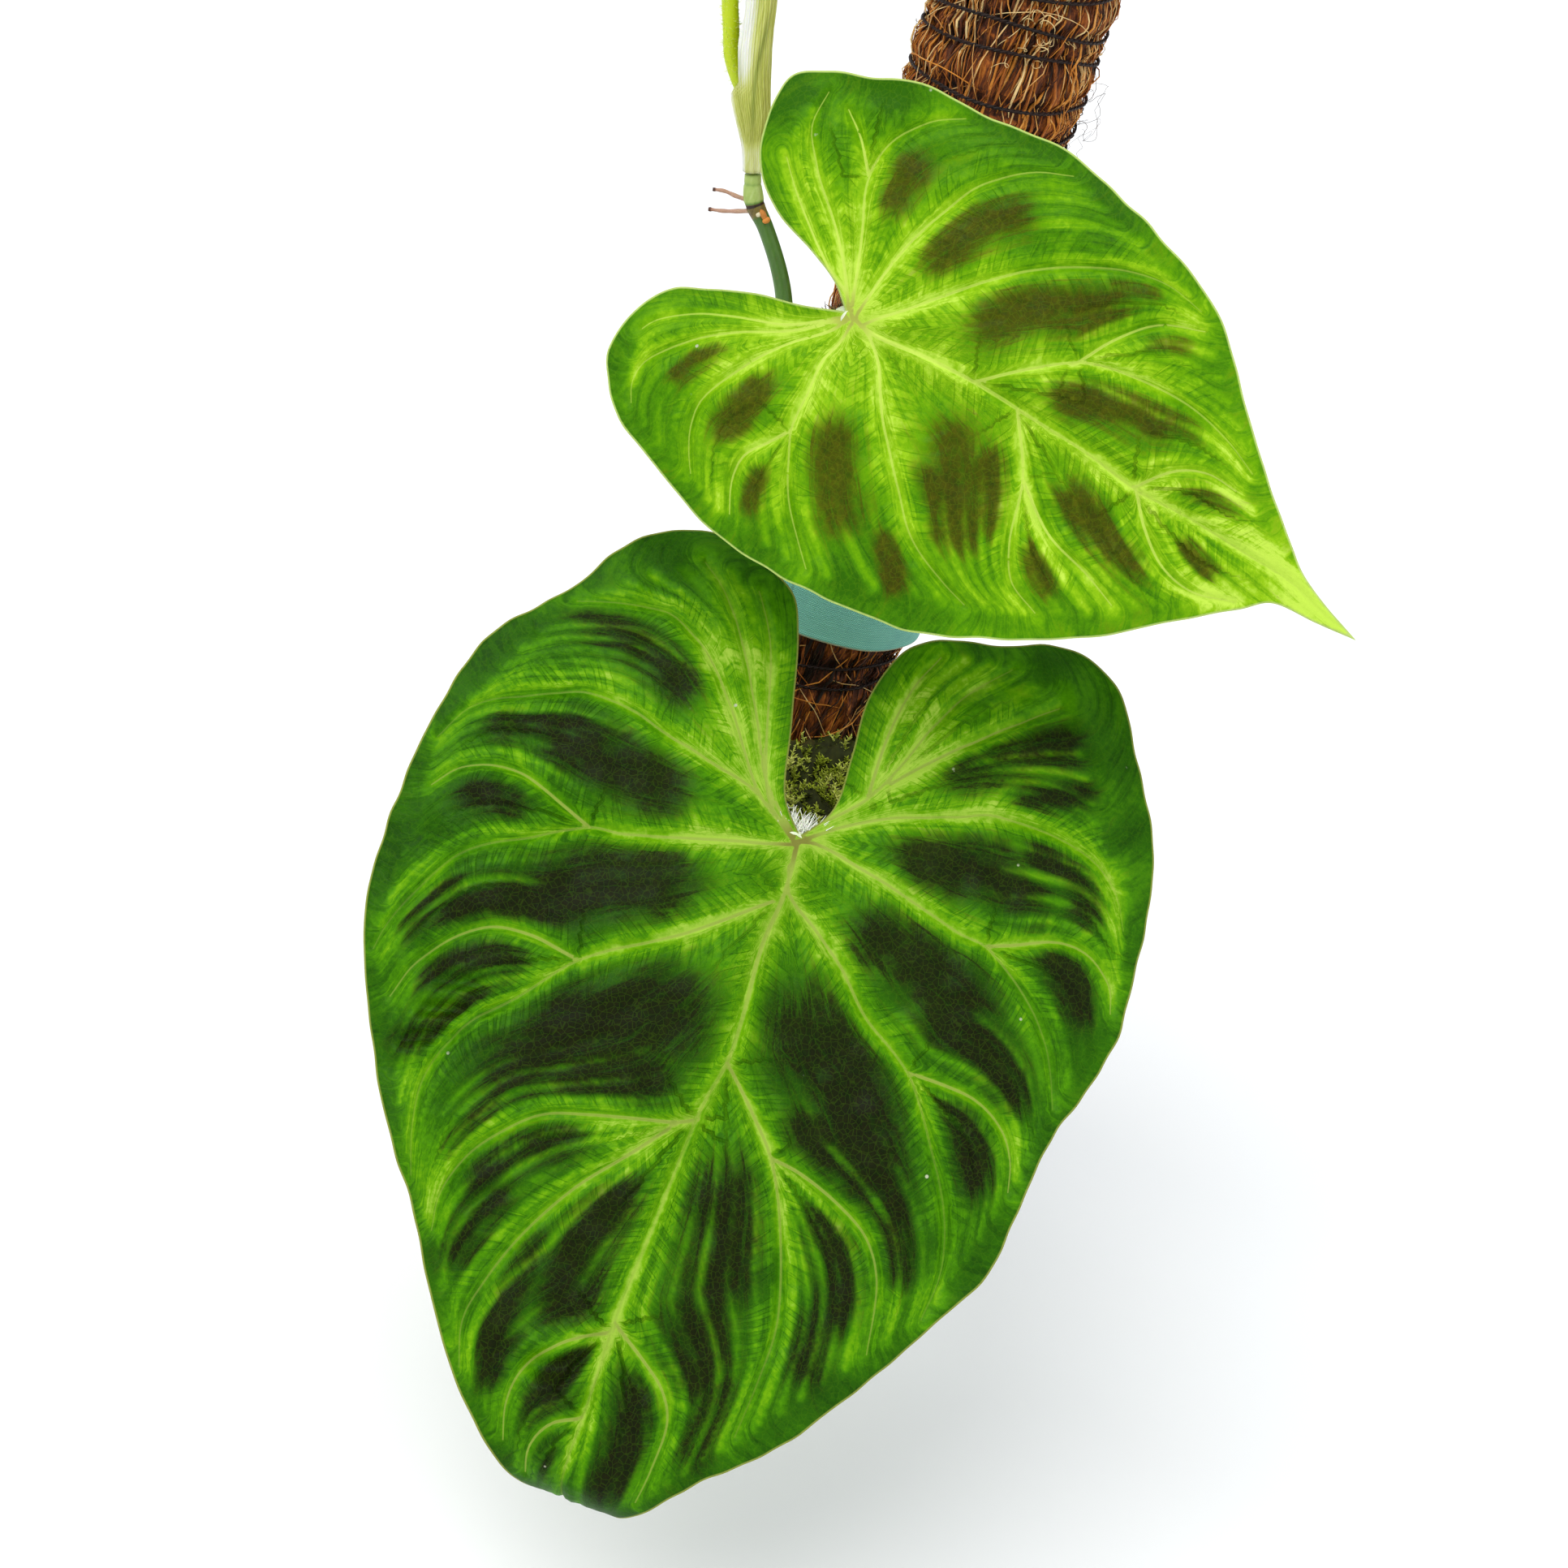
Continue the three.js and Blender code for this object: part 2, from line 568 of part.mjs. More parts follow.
function sheathSolid() {
  const line = smoothLine(SHEATH_STATIONS.map(([x, z]) => [x, SHEATH_Y, z]));
  const rows = [[], []];
  const steps = 2 * (SHEATH_STATIONS.length - 1);
  const columns = 12;
  for (let i = 0; i <= steps; i += 1) {
    const t = i / steps;
    const centre = line.getPoint(t);
    const along = line.getTangent(t);
    const front = new THREE.Vector3(0, -1, 0);
    const right = new THREE.Vector3().crossVectors(along, front).normalize();
    const spot = t * (SHEATH_STATIONS.length - 1);
    const station = Math.min(Math.floor(spot), SHEATH_STATIONS.length - 2);
    const [start, end] = [SHEATH_STATIONS[station][2], SHEATH_STATIONS[station + 1][2]];
    const radius = THREE.MathUtils.lerp(start, end, spot - station);
    const opened = THREE.MathUtils.smoothstep(centre.z, ...SHEATH_MOUTH);
    const halfAngle = THREE.MathUtils.lerp(SHEATH_CLOSED, SHEATH_OPEN, opened);
    [radius, radius - SHEATH_THICKNESS].forEach((reach, side) => {
      const row = [];
      for (let j = 0; j <= columns; j += 1) {
        const angle = halfAngle * ((2 * j) / columns - 1);
        row.push(centre.clone()
          .addScaledVector(right, reach * Math.cos(angle))
          .addScaledVector(front, reach * Math.sin(angle)));
      }
      rows[side].push(row);
    });
  }
  return slab(...rows);
}

const YOUNG_PETIOLE_LINE = smoothLine([
  [-52.5, SHEATH_Y, 281.2],
  [-54.4, SHEATH_Y, 288],
  [-56.3, SHEATH_Y, 292.5],
  [-58.3, SHEATH_Y, 296],
  [-60.1, SHEATH_Y, 299.5],
  [-62.8, SHEATH_Y, 303],
  [-65.1, 18.8, 306.8],
  [-66.4, 18.6, 310.6],
  [-67.5, 18.4, 314.4],
  [-69.2, 18, 320],
  [-74, 17, 344],
  [-77, 15.5, 366],
]);
const ROLLED_LEAF_LINE = smoothLine([
  [-77.1, 15.4, 366.6],
  [-79, 14, 384],
  [-80.5, 12, 404],
  [-81, 9, 428],
]);
const YOUNG_PETIOLE_RADIUS = 2.15;
const YOUNG_PETIOLE_FOOT_RADIUS = 1.4;
const ROLLED_LEAF_RADIUS = 3.1;
const ROLLED_LEAF_STEP = 0.22;
const ROLLED_LEAF_TIP_RADIUS = 0.35;

function youngSection(t) {
  return THREE.MathUtils.lerp(YOUNG_PETIOLE_FOOT_RADIUS, YOUNG_PETIOLE_RADIUS, Math.min(1, 8 * t));
}

// A spindle with the step of its outer turn running along it.
function rolledSection(t, angle) {
  const swell = 0.35 + Math.sin(HALF_TURN * Math.min(1, 0.16 + t * 0.84)) ** 0.7;
  const turn = 1 + ROLLED_LEAF_STEP * (angle / FULL_TURN);
  return Math.max(ROLLED_LEAF_TIP_RADIUS, ROLLED_LEAF_RADIUS * swell * turn * (1 - t ** 6));
}

// Assembly

const plant = new THREE.Group();

function add(name, geometry, material) {
  const mesh = new THREE.Mesh(geometry, material);
  mesh.name = name;
  plant.add(mesh);
}

add('pot', potSolid(), colours.pot);
add('potting_mix', soilSolid(), colours.soil);
add('moss', mossSolid(), colours.moss);
add('pole_stake', rod(CORE_RADIUS, CORE_BOTTOM, POLE_TOP + 3, 24, 0, POLE_Y), colours.core);
add('coir_wrap', coirSolid(), colours.coir);
add('binding_wire', wireSolid(), colours.wire);
add('tie_band', bandSolid(), colours.band);
add('stem', stemSolid(), colours.stem);
add('lower_petiole', swept(LOWER_PETIOLE_LINE, 26, 8, petioleSection(2.7, 2.3)), colours.petiole);
add('lower_leaf', bladeSolid(LOWER_LEAF), colours.lowerBlade);
add('upper_petiole', swept(UPPER_PETIOLE_LINE, 24, 8, petioleSection(2.5, 2.1)), colours.petiole);
add('upper_leaf', bladeSolid(UPPER_LEAF), colours.upperBlade);
add('sheath', sheathSolid(), colours.sheath);
add('young_petiole', swept(YOUNG_PETIOLE_LINE, 26, 8, youngSection), colours.youngGrowth);
add('rolled_leaf', swept(ROLLED_LEAF_LINE, 14, 12, rolledSection), colours.youngGrowth);

export default plant;
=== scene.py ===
import math
import bpy
import numpy as np
from mathutils import Matrix, Vector
from mathutils.geometry import delaunay_2d_cdt
from mathutils.kdtree import KDTree


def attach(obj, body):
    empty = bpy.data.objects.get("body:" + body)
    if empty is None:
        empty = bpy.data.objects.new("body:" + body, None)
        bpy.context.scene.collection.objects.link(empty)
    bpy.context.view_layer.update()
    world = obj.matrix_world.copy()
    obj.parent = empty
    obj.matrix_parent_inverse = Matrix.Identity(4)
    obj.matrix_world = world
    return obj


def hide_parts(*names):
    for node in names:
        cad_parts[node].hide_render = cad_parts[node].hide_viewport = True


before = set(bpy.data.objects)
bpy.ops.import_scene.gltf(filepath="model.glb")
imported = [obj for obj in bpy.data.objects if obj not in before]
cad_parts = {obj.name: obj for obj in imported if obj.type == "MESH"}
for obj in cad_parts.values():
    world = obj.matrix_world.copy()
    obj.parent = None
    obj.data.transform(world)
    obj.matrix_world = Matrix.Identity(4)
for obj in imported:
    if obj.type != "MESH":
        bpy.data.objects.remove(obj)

MM = 0.001
FULL_TURN = 2 * math.pi
SHARP_ANGLE = math.radians(35)
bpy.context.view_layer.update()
scene = bpy.context.scene

# Sizes shared with the part's source

POT_HEIGHT, POT_RIM_RADIUS, POT_BASE_RADIUS = 140, 70, 57
POT_WALL, POT_FLOOR, LIP_HEIGHT, LIP_PROUD = 3, 4, 11, 2
DRAIN_COUNT, DRAIN_RADIUS, DRAIN_CIRCLE = 6, 4.5, 34
SOIL_LEVEL = 124
POLE_Y, CORE_RADIUS, POLE_TOP = 34, 13, 386
COIR_RADIUS, COIR_BOTTOM, WIRE_WINDING_RADIUS, WIRE_BOTTOM = 23.4, 92, 25.3, 140
BAND_BOTTOM, BAND_WIDTH, BAND_THICKNESS = 165, 22, 1.2
STEM_FOOT, STEM_RADIUS = (-28.3, 20.8, 86), 3.2

# Each blade lies in its own frame: u runs across it, v from the junction towards the tip.
# veins run outwards from the junction, and a forked vein's branches start where it ends.
# patches are the dark places, each with its half width.
# creases are folds of the blade, each with its depth and its half width.
# spacing is the mesh's, waves the margin's height, and quilting is how deep the lesser veins lie.
# glow brightens the green beside the veins and further off, and striping does along the lesser veins.
# Each tone brightens or darkens the green in one part of the blade.
LOWER_LEAF = {
    "junction": (10, -123, 175),
    "along": (-0.016, -0.666, -0.746),
    "facing": (-0.007, -0.746, 0.666),
    "slopes": (-9, 12),
    "span": (-80, 150),
    "curl_start": 144,
    "curl_radius": 12,
    "droop_radius": 900,
    "right": [(1, -2.5), (6.2, -10.5), (6.4, -25), (6, -41), (11, -54), (20, -60), (32, -64), (42, -68.5),
              (50, -69), (61, -63), (71, -46), (79, -30.5), (83, -13), (84, 4), (84, 19), (81, 32),
              (76, 47), (74, 65), (72, 78), (64, 92), (54, 109), (40, 128), (24, 143), (15, 155),
              (7, 166), (0, 176)],
    "left": [(1, -2.5), (-4.8, -10), (-9, -28), (-14, -48), (-18, -57), (-27, -63.5), (-40, -68.5),
             (-51, -65.5), (-62, -55), (-67, -45), (-78, -32), (-84, -22), (-87.5, -4),
             (-88.7, 15), (-88.6, 33), (-86.8, 46.3), (-80.8, 61.4), (-74, 75), (-64, 91), (-54, 104),
             (-43, 122), (-31, 138), (-18, 151), (-9, 160), (-3, 169), (0, 176)],
    "midrib": [(1, -1), (2, 11), (1, 25), (2, 41), (2, 52), (0, 62), (-1, 76), (-2, 95), (-3, 108),
               (-3, 121), (-3, 136), (-3, 150), (-1, 164), (0, 174)],
    "veins": [
        [(0, -2), (-8, -8), (-20, -45), (-27, -57)],
        [(0, -2), (-10, -12), (-17, -26), (-24, -39), (-33, -52), (-41, -60)],
        [(0, -2), (-10, -8), (-24, -27), (-34, -38), (-45, -44), (-56, -43), (-67, -40)],
        [(0, -1), (-12, -9), (-23, -12), (-38, -16), (-44, -18), (-57, -19), (-67, -15), (-80, -8),
         (-85, 2)],
        [(0, 0), (-21, 6), (-37, 10), (-45, 11), (-57, 18), (-70, 26), (-77, 37), (-81, 47), (-82, 53)],
        [(-45, 11), (-58, 6), (-66, 4), (-77, 7), (-83, 14)],
        [(0, 14), (-17, 28), (-37, 41), (-47, 53), (-56, 63), (-61, 76), (-60, 87), (-56, 99)],
        [(-37, 41), (-50, 39), (-60, 41), (-71, 52), (-75, 63)],
        [(0, 66), (-4, 68), (-12, 70), (-24, 73), (-33, 76), (-40, 82), (-46, 90), (-49, 100), (-48, 108)],
        [(-4, 68), (-11, 77), (-21, 89), (-29, 103), (-33, 114), (-35, 124), (-32, 135)],
        [(-3, 116), (-5, 117), (-13, 122), (-19, 130), (-20, 138), (-18, 146)],
        [(-3, 136), (-9, 139), (-12, 145), (-11, 154)],
        [(1, -2), (3, -5), (13, -16), (18, -26), (22, -37), (28, -49), (36, -59)],
        [(13, -16), (13, -32), (15, -45), (19, -55)],
        [(17, -21), (24, -29), (40, -45), (50, -54)],
        [(1, -1), (10, -8), (19, -13), (34, -19), (41, -22), (54, -23), (65, -21), (74, -15), (79, -6)],
        [(1, -1), (5, -2), (20, 1), (32, 4), (43, 7), (49, 8), (61, 16), (68, 23), (72, 30), (75, 38)],
        [(49, 8), (54, 6), (66, 1), (73, 2), (79, 7), (81, 13)],
        [(1, 5), (3, 11), (11, 17), (20, 24), (28, 32), (41, 41), (51, 55), (59, 69), (62, 81), (61, 92)],
        [(41, 41), (50, 41), (58, 42), (65, 46), (69, 52), (71, 60)],
        [(2, 52), (11, 61), (18, 69), (25, 83), (31, 103), (31, 115), (30, 129)],
        [(18, 69), (25, 70), (36, 74), (44, 79), (49, 87), (52, 103)],
        [(-3, 114), (6, 120), (12, 125), (15, 131), (15, 141), (14, 151)],
    ],
    "patches": [
        ([(-37, -28), (-47, -33), (-61, -37)], 5),
        ([(-56, -10), (-72, -6)], 4),
        ([(-34, -3), (-46, -4), (-56, -7)], 6.5),
        ([(-64, 12), (-72, 12)], 4),
        ([(-27, 19), (-36, 21), (-46, 28)], 8),
        ([(-46, 31), (-58, 35), (-66, 40)], 5.5),
        ([(-70, 33), (-77, 46)], 3),
        ([(-52, 46), (-60, 47), (-67, 54)], 4.5),
        ([(-56, 56), (-62, 64), (-66, 70)], 4),
        ([(-14, 46), (-24, 50), (-33, 56), (-40, 68)], 9),
        ([(-15, 62), (-30, 66)], 6.5),
        ([(-44, 74), (-49, 90)], 3.5),
        ([(-27, 78), (-36, 82), (-41, 92)], 5.5),
        ([(-38, 96), (-42, 110)], 4),
        ([(-13, 88), (-16, 100), (-15, 112)], 6.5),
        ([(-26, 103), (-28, 120), (-25, 132)], 4.5),
        ([(-8, 123), (-11, 135), (-10, 147)], 5.5),
        ([(7, 125), (9, 135), (8, 147)], 5),
        ([(10, 80), (14, 92), (15, 106), (17, 118)], 7),
        ([(24, 120), (22, 135)], 3.5),
        ([(17, 40), (26, 45), (34, 55), (38, 66)], 9),
        ([(24, 60), (30, 66)], 5),
        ([(47, 70), (52, 84)], 4),
        ([(34, 78), (40, 85), (43, 95)], 6),
        ([(38, 100), (40, 110)], 4),
        ([(27, 15), (37, 17), (48, 22)], 7),
        ([(45, 27), (55, 31), (64, 39)], 5.5),
        ([(52, 44), (59, 50), (63, 58)], 4.5),
        ([(60, 3), (68, 6), (74, 14)], 4),
        ([(30, -5), (42, -8), (52, -8)], 6.5),
        ([(55, -16), (64, -15), (70, -8)], 4),
        ([(33, -30), (42, -37), (52, -43)], 5),
        ([(48, -28), (60, -34)], 3),
    ],
    "creases": [
        ([(-6, 121), (-10, 126), (-16, 128)], 2.2, 2.2),
        ([(-6, 72), (-20, 75), (-32, 78)], 1.1, 2.0),
        ([(-58, 60), (-66, 62)], 1.6, 1.6),
        ([(-60, 66), (-68, 70)], 1.4, 1.5),
        ([(-56, 53), (-64, 55)], 1.0, 1.5),
        ([(0, 121), (8, 126)], 0.9, 1.8),
        ([(-36, 94), (-42, 100)], 0.8, 1.6),
    ],
    "spacing": 1.05,
    "vein_width": 1.0,
    "waves": 1.3,
    "lesser_pitch": 6,
    "quilting": 0.6,
    "striping": 0.4,
    "lobe_tone": 0.12,
    "glow": (0.32, 0.34),
    "centre_tone": 0.17,
    "margin_tone": -0.1,
    "far_tone": 0.05,
    "midrib_tone": 0.2,
    "right_tone": 0.06,
    "tip_tone": -0.27,
    "brightness": 0.22,
}
UPPER_LEAF = {
    "junction": (-13, -93, 287),
    "along": (0.953, -0.252, -0.17),
    "facing": (-0.18, -0.919, 0.352),
    "slopes": (-8, 14),
    "span": (-60, 130),
    "curl_start": 500,
    "curl_radius": 30,
    "droop_radius": 700,
    "right": [(1, -2.5), (5, -8), (8, -16), (11, -27), (16, -35), (23, -39.5), (32, -41.5), (38, -41),
              (43, -34), (47, -24), (51, -15), (52, 0), (55, 20), (53, 32), (50, 46), (43, 66), (34, 77),
              (25, 87), (16, 98), (9.5, 107), (5, 114), (2.5, 121), (0, 130)],
    "left": [(1, -2.5), (-3, -12), (-6, -22), (-11, -33), (-15, -40), (-23, -44), (-34, -45), (-41, -40),
             (-46, -33), (-50, -21), (-55, -6), (-56, 8), (-55, 21), (-53, 34), (-50, 47), (-42, 63),
             (-30, 81), (-17, 95), (-8, 104.5), (-3, 110), (-1.5, 120), (0, 130)],
    "midrib": [(1, -1), (0, 4), (2, 19), (3, 32), (3, 45), (3, 58), (2, 72), (3, 85), (3, 98), (3, 111),
               (1, 120), (0, 129)],
    "veins": [
        [(1, -2), (4, -4), (7, -11), (17, -26), (23, -33)],
        [(1, -2), (4, -4), (13, -12), (24, -25), (31, -31), (40, -32)],
        [(1, -1), (5, -3), (18, -9), (28, -14), (37, -14), (45, -9), (50, -2)],
        [(28, -14), (34, -20), (38, -26)],
        [(1, 0), (6, 0), (17, 1), (29, 4), (39, 8), (47, 16), (51, 24)],
        [(0, 2), (3, 4), (11, 11), (22, 20), (30, 28), (35, 35), (40, 45), (42, 54), (41, 64)],
        [(3, 30), (12, 39), (19, 48), (22, 59), (23, 72), (21, 83), (18, 91)],
        [(2, 71), (10, 77), (13, 83), (13, 91)],
        [(0, -2), (-8, -12), (-13, -24), (-17, -32), (-23, -39), (-27, -41)],
        [(0, -1), (-9, -11), (-16, -22), (-22, -29), (-27, -33), (-32, -36), (-37, -36), (-42, -33)],
        [(0, -1), (-4, -3), (-12, -10), (-20, -15), (-26, -18), (-33, -20), (-38, -19), (-44, -16),
         (-48, -13)],
        [(0, 0), (-5, 0), (-10, -1), (-18, 0), (-27, 1), (-33, 4), (-40, 8), (-46, 14), (-51, 20)],
        [(-27, 1), (-32, -2), (-37, -5), (-43, -5), (-51, -1)],
        [(0, 3), (-1, 5), (-5, 10), (-13, 16), (-25, 28), (-33, 37), (-37, 47), (-39, 55)],
        [(3, 41), (-9, 50), (-22, 55), (-29, 60), (-32, 68)],
        [(-9, 50), (-16, 61), (-19, 73), (-22, 82)],
        [(2, 72), (-4, 78), (-9, 86), (-10, 94), (-7, 103)],
        [(17, 46), (27, 51), (34, 57), (38, 66)],
    ],
    "patches": [
        ([(27, -6), (34, -6)], 3.5),
        ([(22, 9), (30, 12), (38, 18)], 4),
        ([(17, 27), (24, 34), (31, 46)], 5),
        ([(10, 50), (15, 58), (17, 68)], 4),
        ([(18, 66), (21, 76)], 3),
        ([(10, 80), (11, 90)], 3),
        ([(-7, 62), (-10, 70), (-11, 80)], 4),
        ([(-10, 33), (-18, 38), (-26, 45)], 4.5),
        ([(-11, 42), (-20, 50)], 4),
        ([(-19, 34), (-27, 42)], 3.5),
        ([(-24, 11), (-31, 16), (-37, 20)], 4.5),
        ([(-24, -10), (-33, -11)], 4),
        ([(-40, 0), (-46, 1)], 2.5),
        ([(-21, 60), (-26, 66)], 3),
        ([(-36, 33), (-42, 38)], 3),
        ([(31, 57), (34, 63)], 2.5),
        ([(38, 44), (40, 52)], 2.5),
        ([(-20, -24), (-30, -27)], 2.5),
        ([(-3, 88), (-5, 94)], 2.5),
    ],
    "creases": [
        ([(-12, 22), (-14, 28), (-10, 31)], -0.5, 0.8),
        ([(12, 22), (17, 27)], 0.4, 0.9),
    ],
    "spacing": 0.85,
    "vein_width": 0.85,
    "waves": 1.0,
    "lesser_pitch": 5,
    "quilting": 0.4,
    "striping": 0.46,
    "lobe_tone": -0.08,
    "glow": (0.24, 0.26),
    "centre_tone": 0.28,
    "margin_tone": -0.3,
    "far_tone": 0.38,
    "midrib_tone": 0.08,
    "right_tone": -0.2,
    "tip_tone": 0.5,
    "brightness": 0.24,
}


# Lines and meshes

def smooth_line(points, steps=6):
    """Points on a centripetal Catmull-Rom curve through the given ones, steps to each stretch."""
    p = np.asarray(points, float)
    p = np.vstack([2 * p[0] - p[1], p, 2 * p[-1] - p[-2]])
    gap = np.linalg.norm(np.diff(p, axis=0), axis=1) ** 0.5
    t = np.linspace(0, 1, steps, endpoint=False)[:, None]
    found = []
    for i in range(1, len(p) - 2):
        before, span, after = gap[i - 1:i + 2]
        a, b, c, d = p[i - 1:i + 3]
        leave = (b - a) / before - (c - a) / (before + span) + (c - b) / span
        reach = (c - b) / span - (d - b) / (span + after) + (d - c) / after
        leave, reach = leave * span, reach * span
        cubic = 2 * b - 2 * c + leave + reach
        square = -3 * b + 3 * c - 2 * leave - reach
        found.append(((cubic * t + square) * t + leave) * t + b)
    return np.vstack([*found, p[-2:-1]])


def evenly(line, spacing=None, count=None):
    """A polyline with its points evenly spaced along it."""
    run = np.concatenate([[0], np.cumsum(np.linalg.norm(np.diff(line, axis=0), axis=1))])
    count = count or max(2, int(round(run[-1] / spacing)) + 1)
    spots = np.linspace(0, run[-1], count)
    return np.stack([np.interp(spots, run, line[:, k]) for k in range(line.shape[1])], axis=1)


def even_line(points, spacing=None, count=None):
    """A smooth line through the points, evenly spaced."""
    return evenly(smooth_line(points, 16), spacing, count)


def ease(value, low, high):
    """0 up to low, 1 from high, and a smooth step between them."""
    share = np.clip((value - low) / (high - low), 0, 1)
    return share * share * (3 - 2 * share)


def ripple(x, y, wavelength, seed, waves=14):
    """Smooth noise of about unit size: plane waves of random direction and nearly one wavelength."""
    draw = np.random.default_rng(seed)
    total = np.zeros(np.broadcast(x, y).shape)
    for _ in range(waves):
        heading, phase = draw.uniform(0, FULL_TURN, 2)
        pace = FULL_TURN / (wavelength * draw.uniform(0.75, 1.5))
        total += np.sin(pace * (x * math.cos(heading) + y * math.sin(heading)) + phase)
    return total * math.sqrt(2 / waves)


def piece(name, points, faces, materials, nodes=(), fields=None, face_materials=None):
    """A mesh object from points in millimetres. It rides on the plant's one body."""
    faces = np.asarray(faces)
    mesh = bpy.data.meshes.new(name)
    mesh.vertices.add(len(points))
    mesh.vertices.foreach_set("co", (np.asarray(points) * MM).astype(np.float32).ravel())
    mesh.loops.add(faces.size)
    mesh.loops.foreach_set("vertex_index", faces.astype(np.int32).ravel())
    mesh.polygons.add(len(faces))
    mesh.polygons.foreach_set("loop_start", np.arange(0, faces.size, faces.shape[1], dtype=np.int32))
    for field, values in (fields or {}).items():
        layer = mesh.attributes.new(field, "FLOAT", "POINT")
        layer.data.foreach_set("value", np.asarray(values, np.float32))
    if face_materials is not None:
        mesh.polygons.foreach_set("material_index", np.asarray(face_materials, np.int32))
    mesh.update(calc_edges=True)
    mesh.validate()
    mesh.shade_smooth()
    for material in materials:
        mesh.materials.append(material)
    made = bpy.data.objects.new(name, mesh)
    scene.collection.objects.link(made)
    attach(made, "root")
    if nodes:
        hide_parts(*nodes)
    return made


# Materials

def paint(code):
    """A colour written as six hex digits, made linear for the shader."""
    parts = [int(code[k:k + 2], 16) / 255 for k in (0, 2, 4)]
    return tuple(c / 12.92 if c <= 0.04045 else ((c + 0.055) / 1.055) ** 2.4 for c in parts) + (1.0,)


class Finish:
    """A material, with short names for the nodes that feed its shader."""

    def __init__(self, name, **sockets):
        self.material = bpy.data.materials.new(name)
        self.material.use_nodes = True
        self.tree = self.material.node_tree
        self.shader = self.tree.nodes["Principled BSDF"]
        for socket, value in sockets.items():
            self.shader.inputs[socket.replace("_", " ")].default_value = value

    def add(self, kind, inputs, output=0, **settings):
        node = self.tree.nodes.new("ShaderNode" + kind)
        for key, value in settings.items():
            setattr(node, key, value)
        for key, value in inputs.items():
            if isinstance(value, bpy.types.NodeSocket):
                self.tree.links.new(value, node.inputs[key])
            else:
                node.inputs[key].default_value = value
        return node.outputs[output]

    def feed(self, socket, value):
        self.tree.links.new(value, self.shader.inputs[socket])

    def field(self, name):
        return self.add("Attribute", {}, "Fac", attribute_name=name)

    def place(self):
        return self.add("TexCoord", {}, "Object")

    def stretched(self, vector, scale):
        return self.add("Mapping", {"Vector": vector, "Scale": scale})

    def maths(self, operation, first, second=0.0, clamp=False):
        return self.add("Math", {0: first, 1: second}, operation=operation, use_clamp=clamp)

    def plus(self, first, second, clamp=False):
        return self.maths("ADD", first, second, clamp)

    def minus(self, first, second):
        return self.maths("SUBTRACT", first, second)

    def times(self, first, second):
        return self.maths("MULTIPLY", first, second)

    def varied(self, value, noise, amount, clamp=False):
        """A value moved up and down by a noise, which lies about a half."""
        return self.plus(value, self.times(self.minus(noise, 0.5), amount), clamp)

    def blended(self, share, first, second, blend="MIX"):
        return self.add("Mix", {0: share, 6: first, 7: second}, 2, data_type="RGBA", blend_type=blend)

    def noise(self, vector, scale, detail=3.0, roughness=0.55):
        inputs = {"Vector": vector, "Scale": scale, "Detail": detail, "Roughness": roughness}
        return self.add("TexNoise", inputs, "Fac")

    def cells(self, vector, scale, feature="DISTANCE_TO_EDGE"):
        return self.add("TexVoronoi", {"Vector": vector, "Scale": scale}, "Distance", feature=feature)

    def between(self, value, low, high, to_low=0.0, to_high=1.0):
        inputs = {0: value, 1: low, 2: high, 3: to_low, 4: to_high}
        return self.add("MapRange", inputs, interpolation_type="SMOOTHSTEP")

    def ramp(self, value, stops):
        node = self.tree.nodes.new("ShaderNodeValToRGB")
        self.tree.links.new(value, node.inputs[0])
        elements = node.color_ramp.elements
        while len(elements) < len(stops):
            elements.new(0.5)
        for element, (position, code) in zip(elements, stops):
            element.position = position
            element.color = paint(code)
        return node.outputs[0]

    def bump(self, height, distance, strength=1.0, over=None):
        inputs = {"Height": height, "Distance": distance * MM, "Strength": strength}
        if over is not None:
            inputs["Normal"] = over
        return self.add("Bump", inputs)


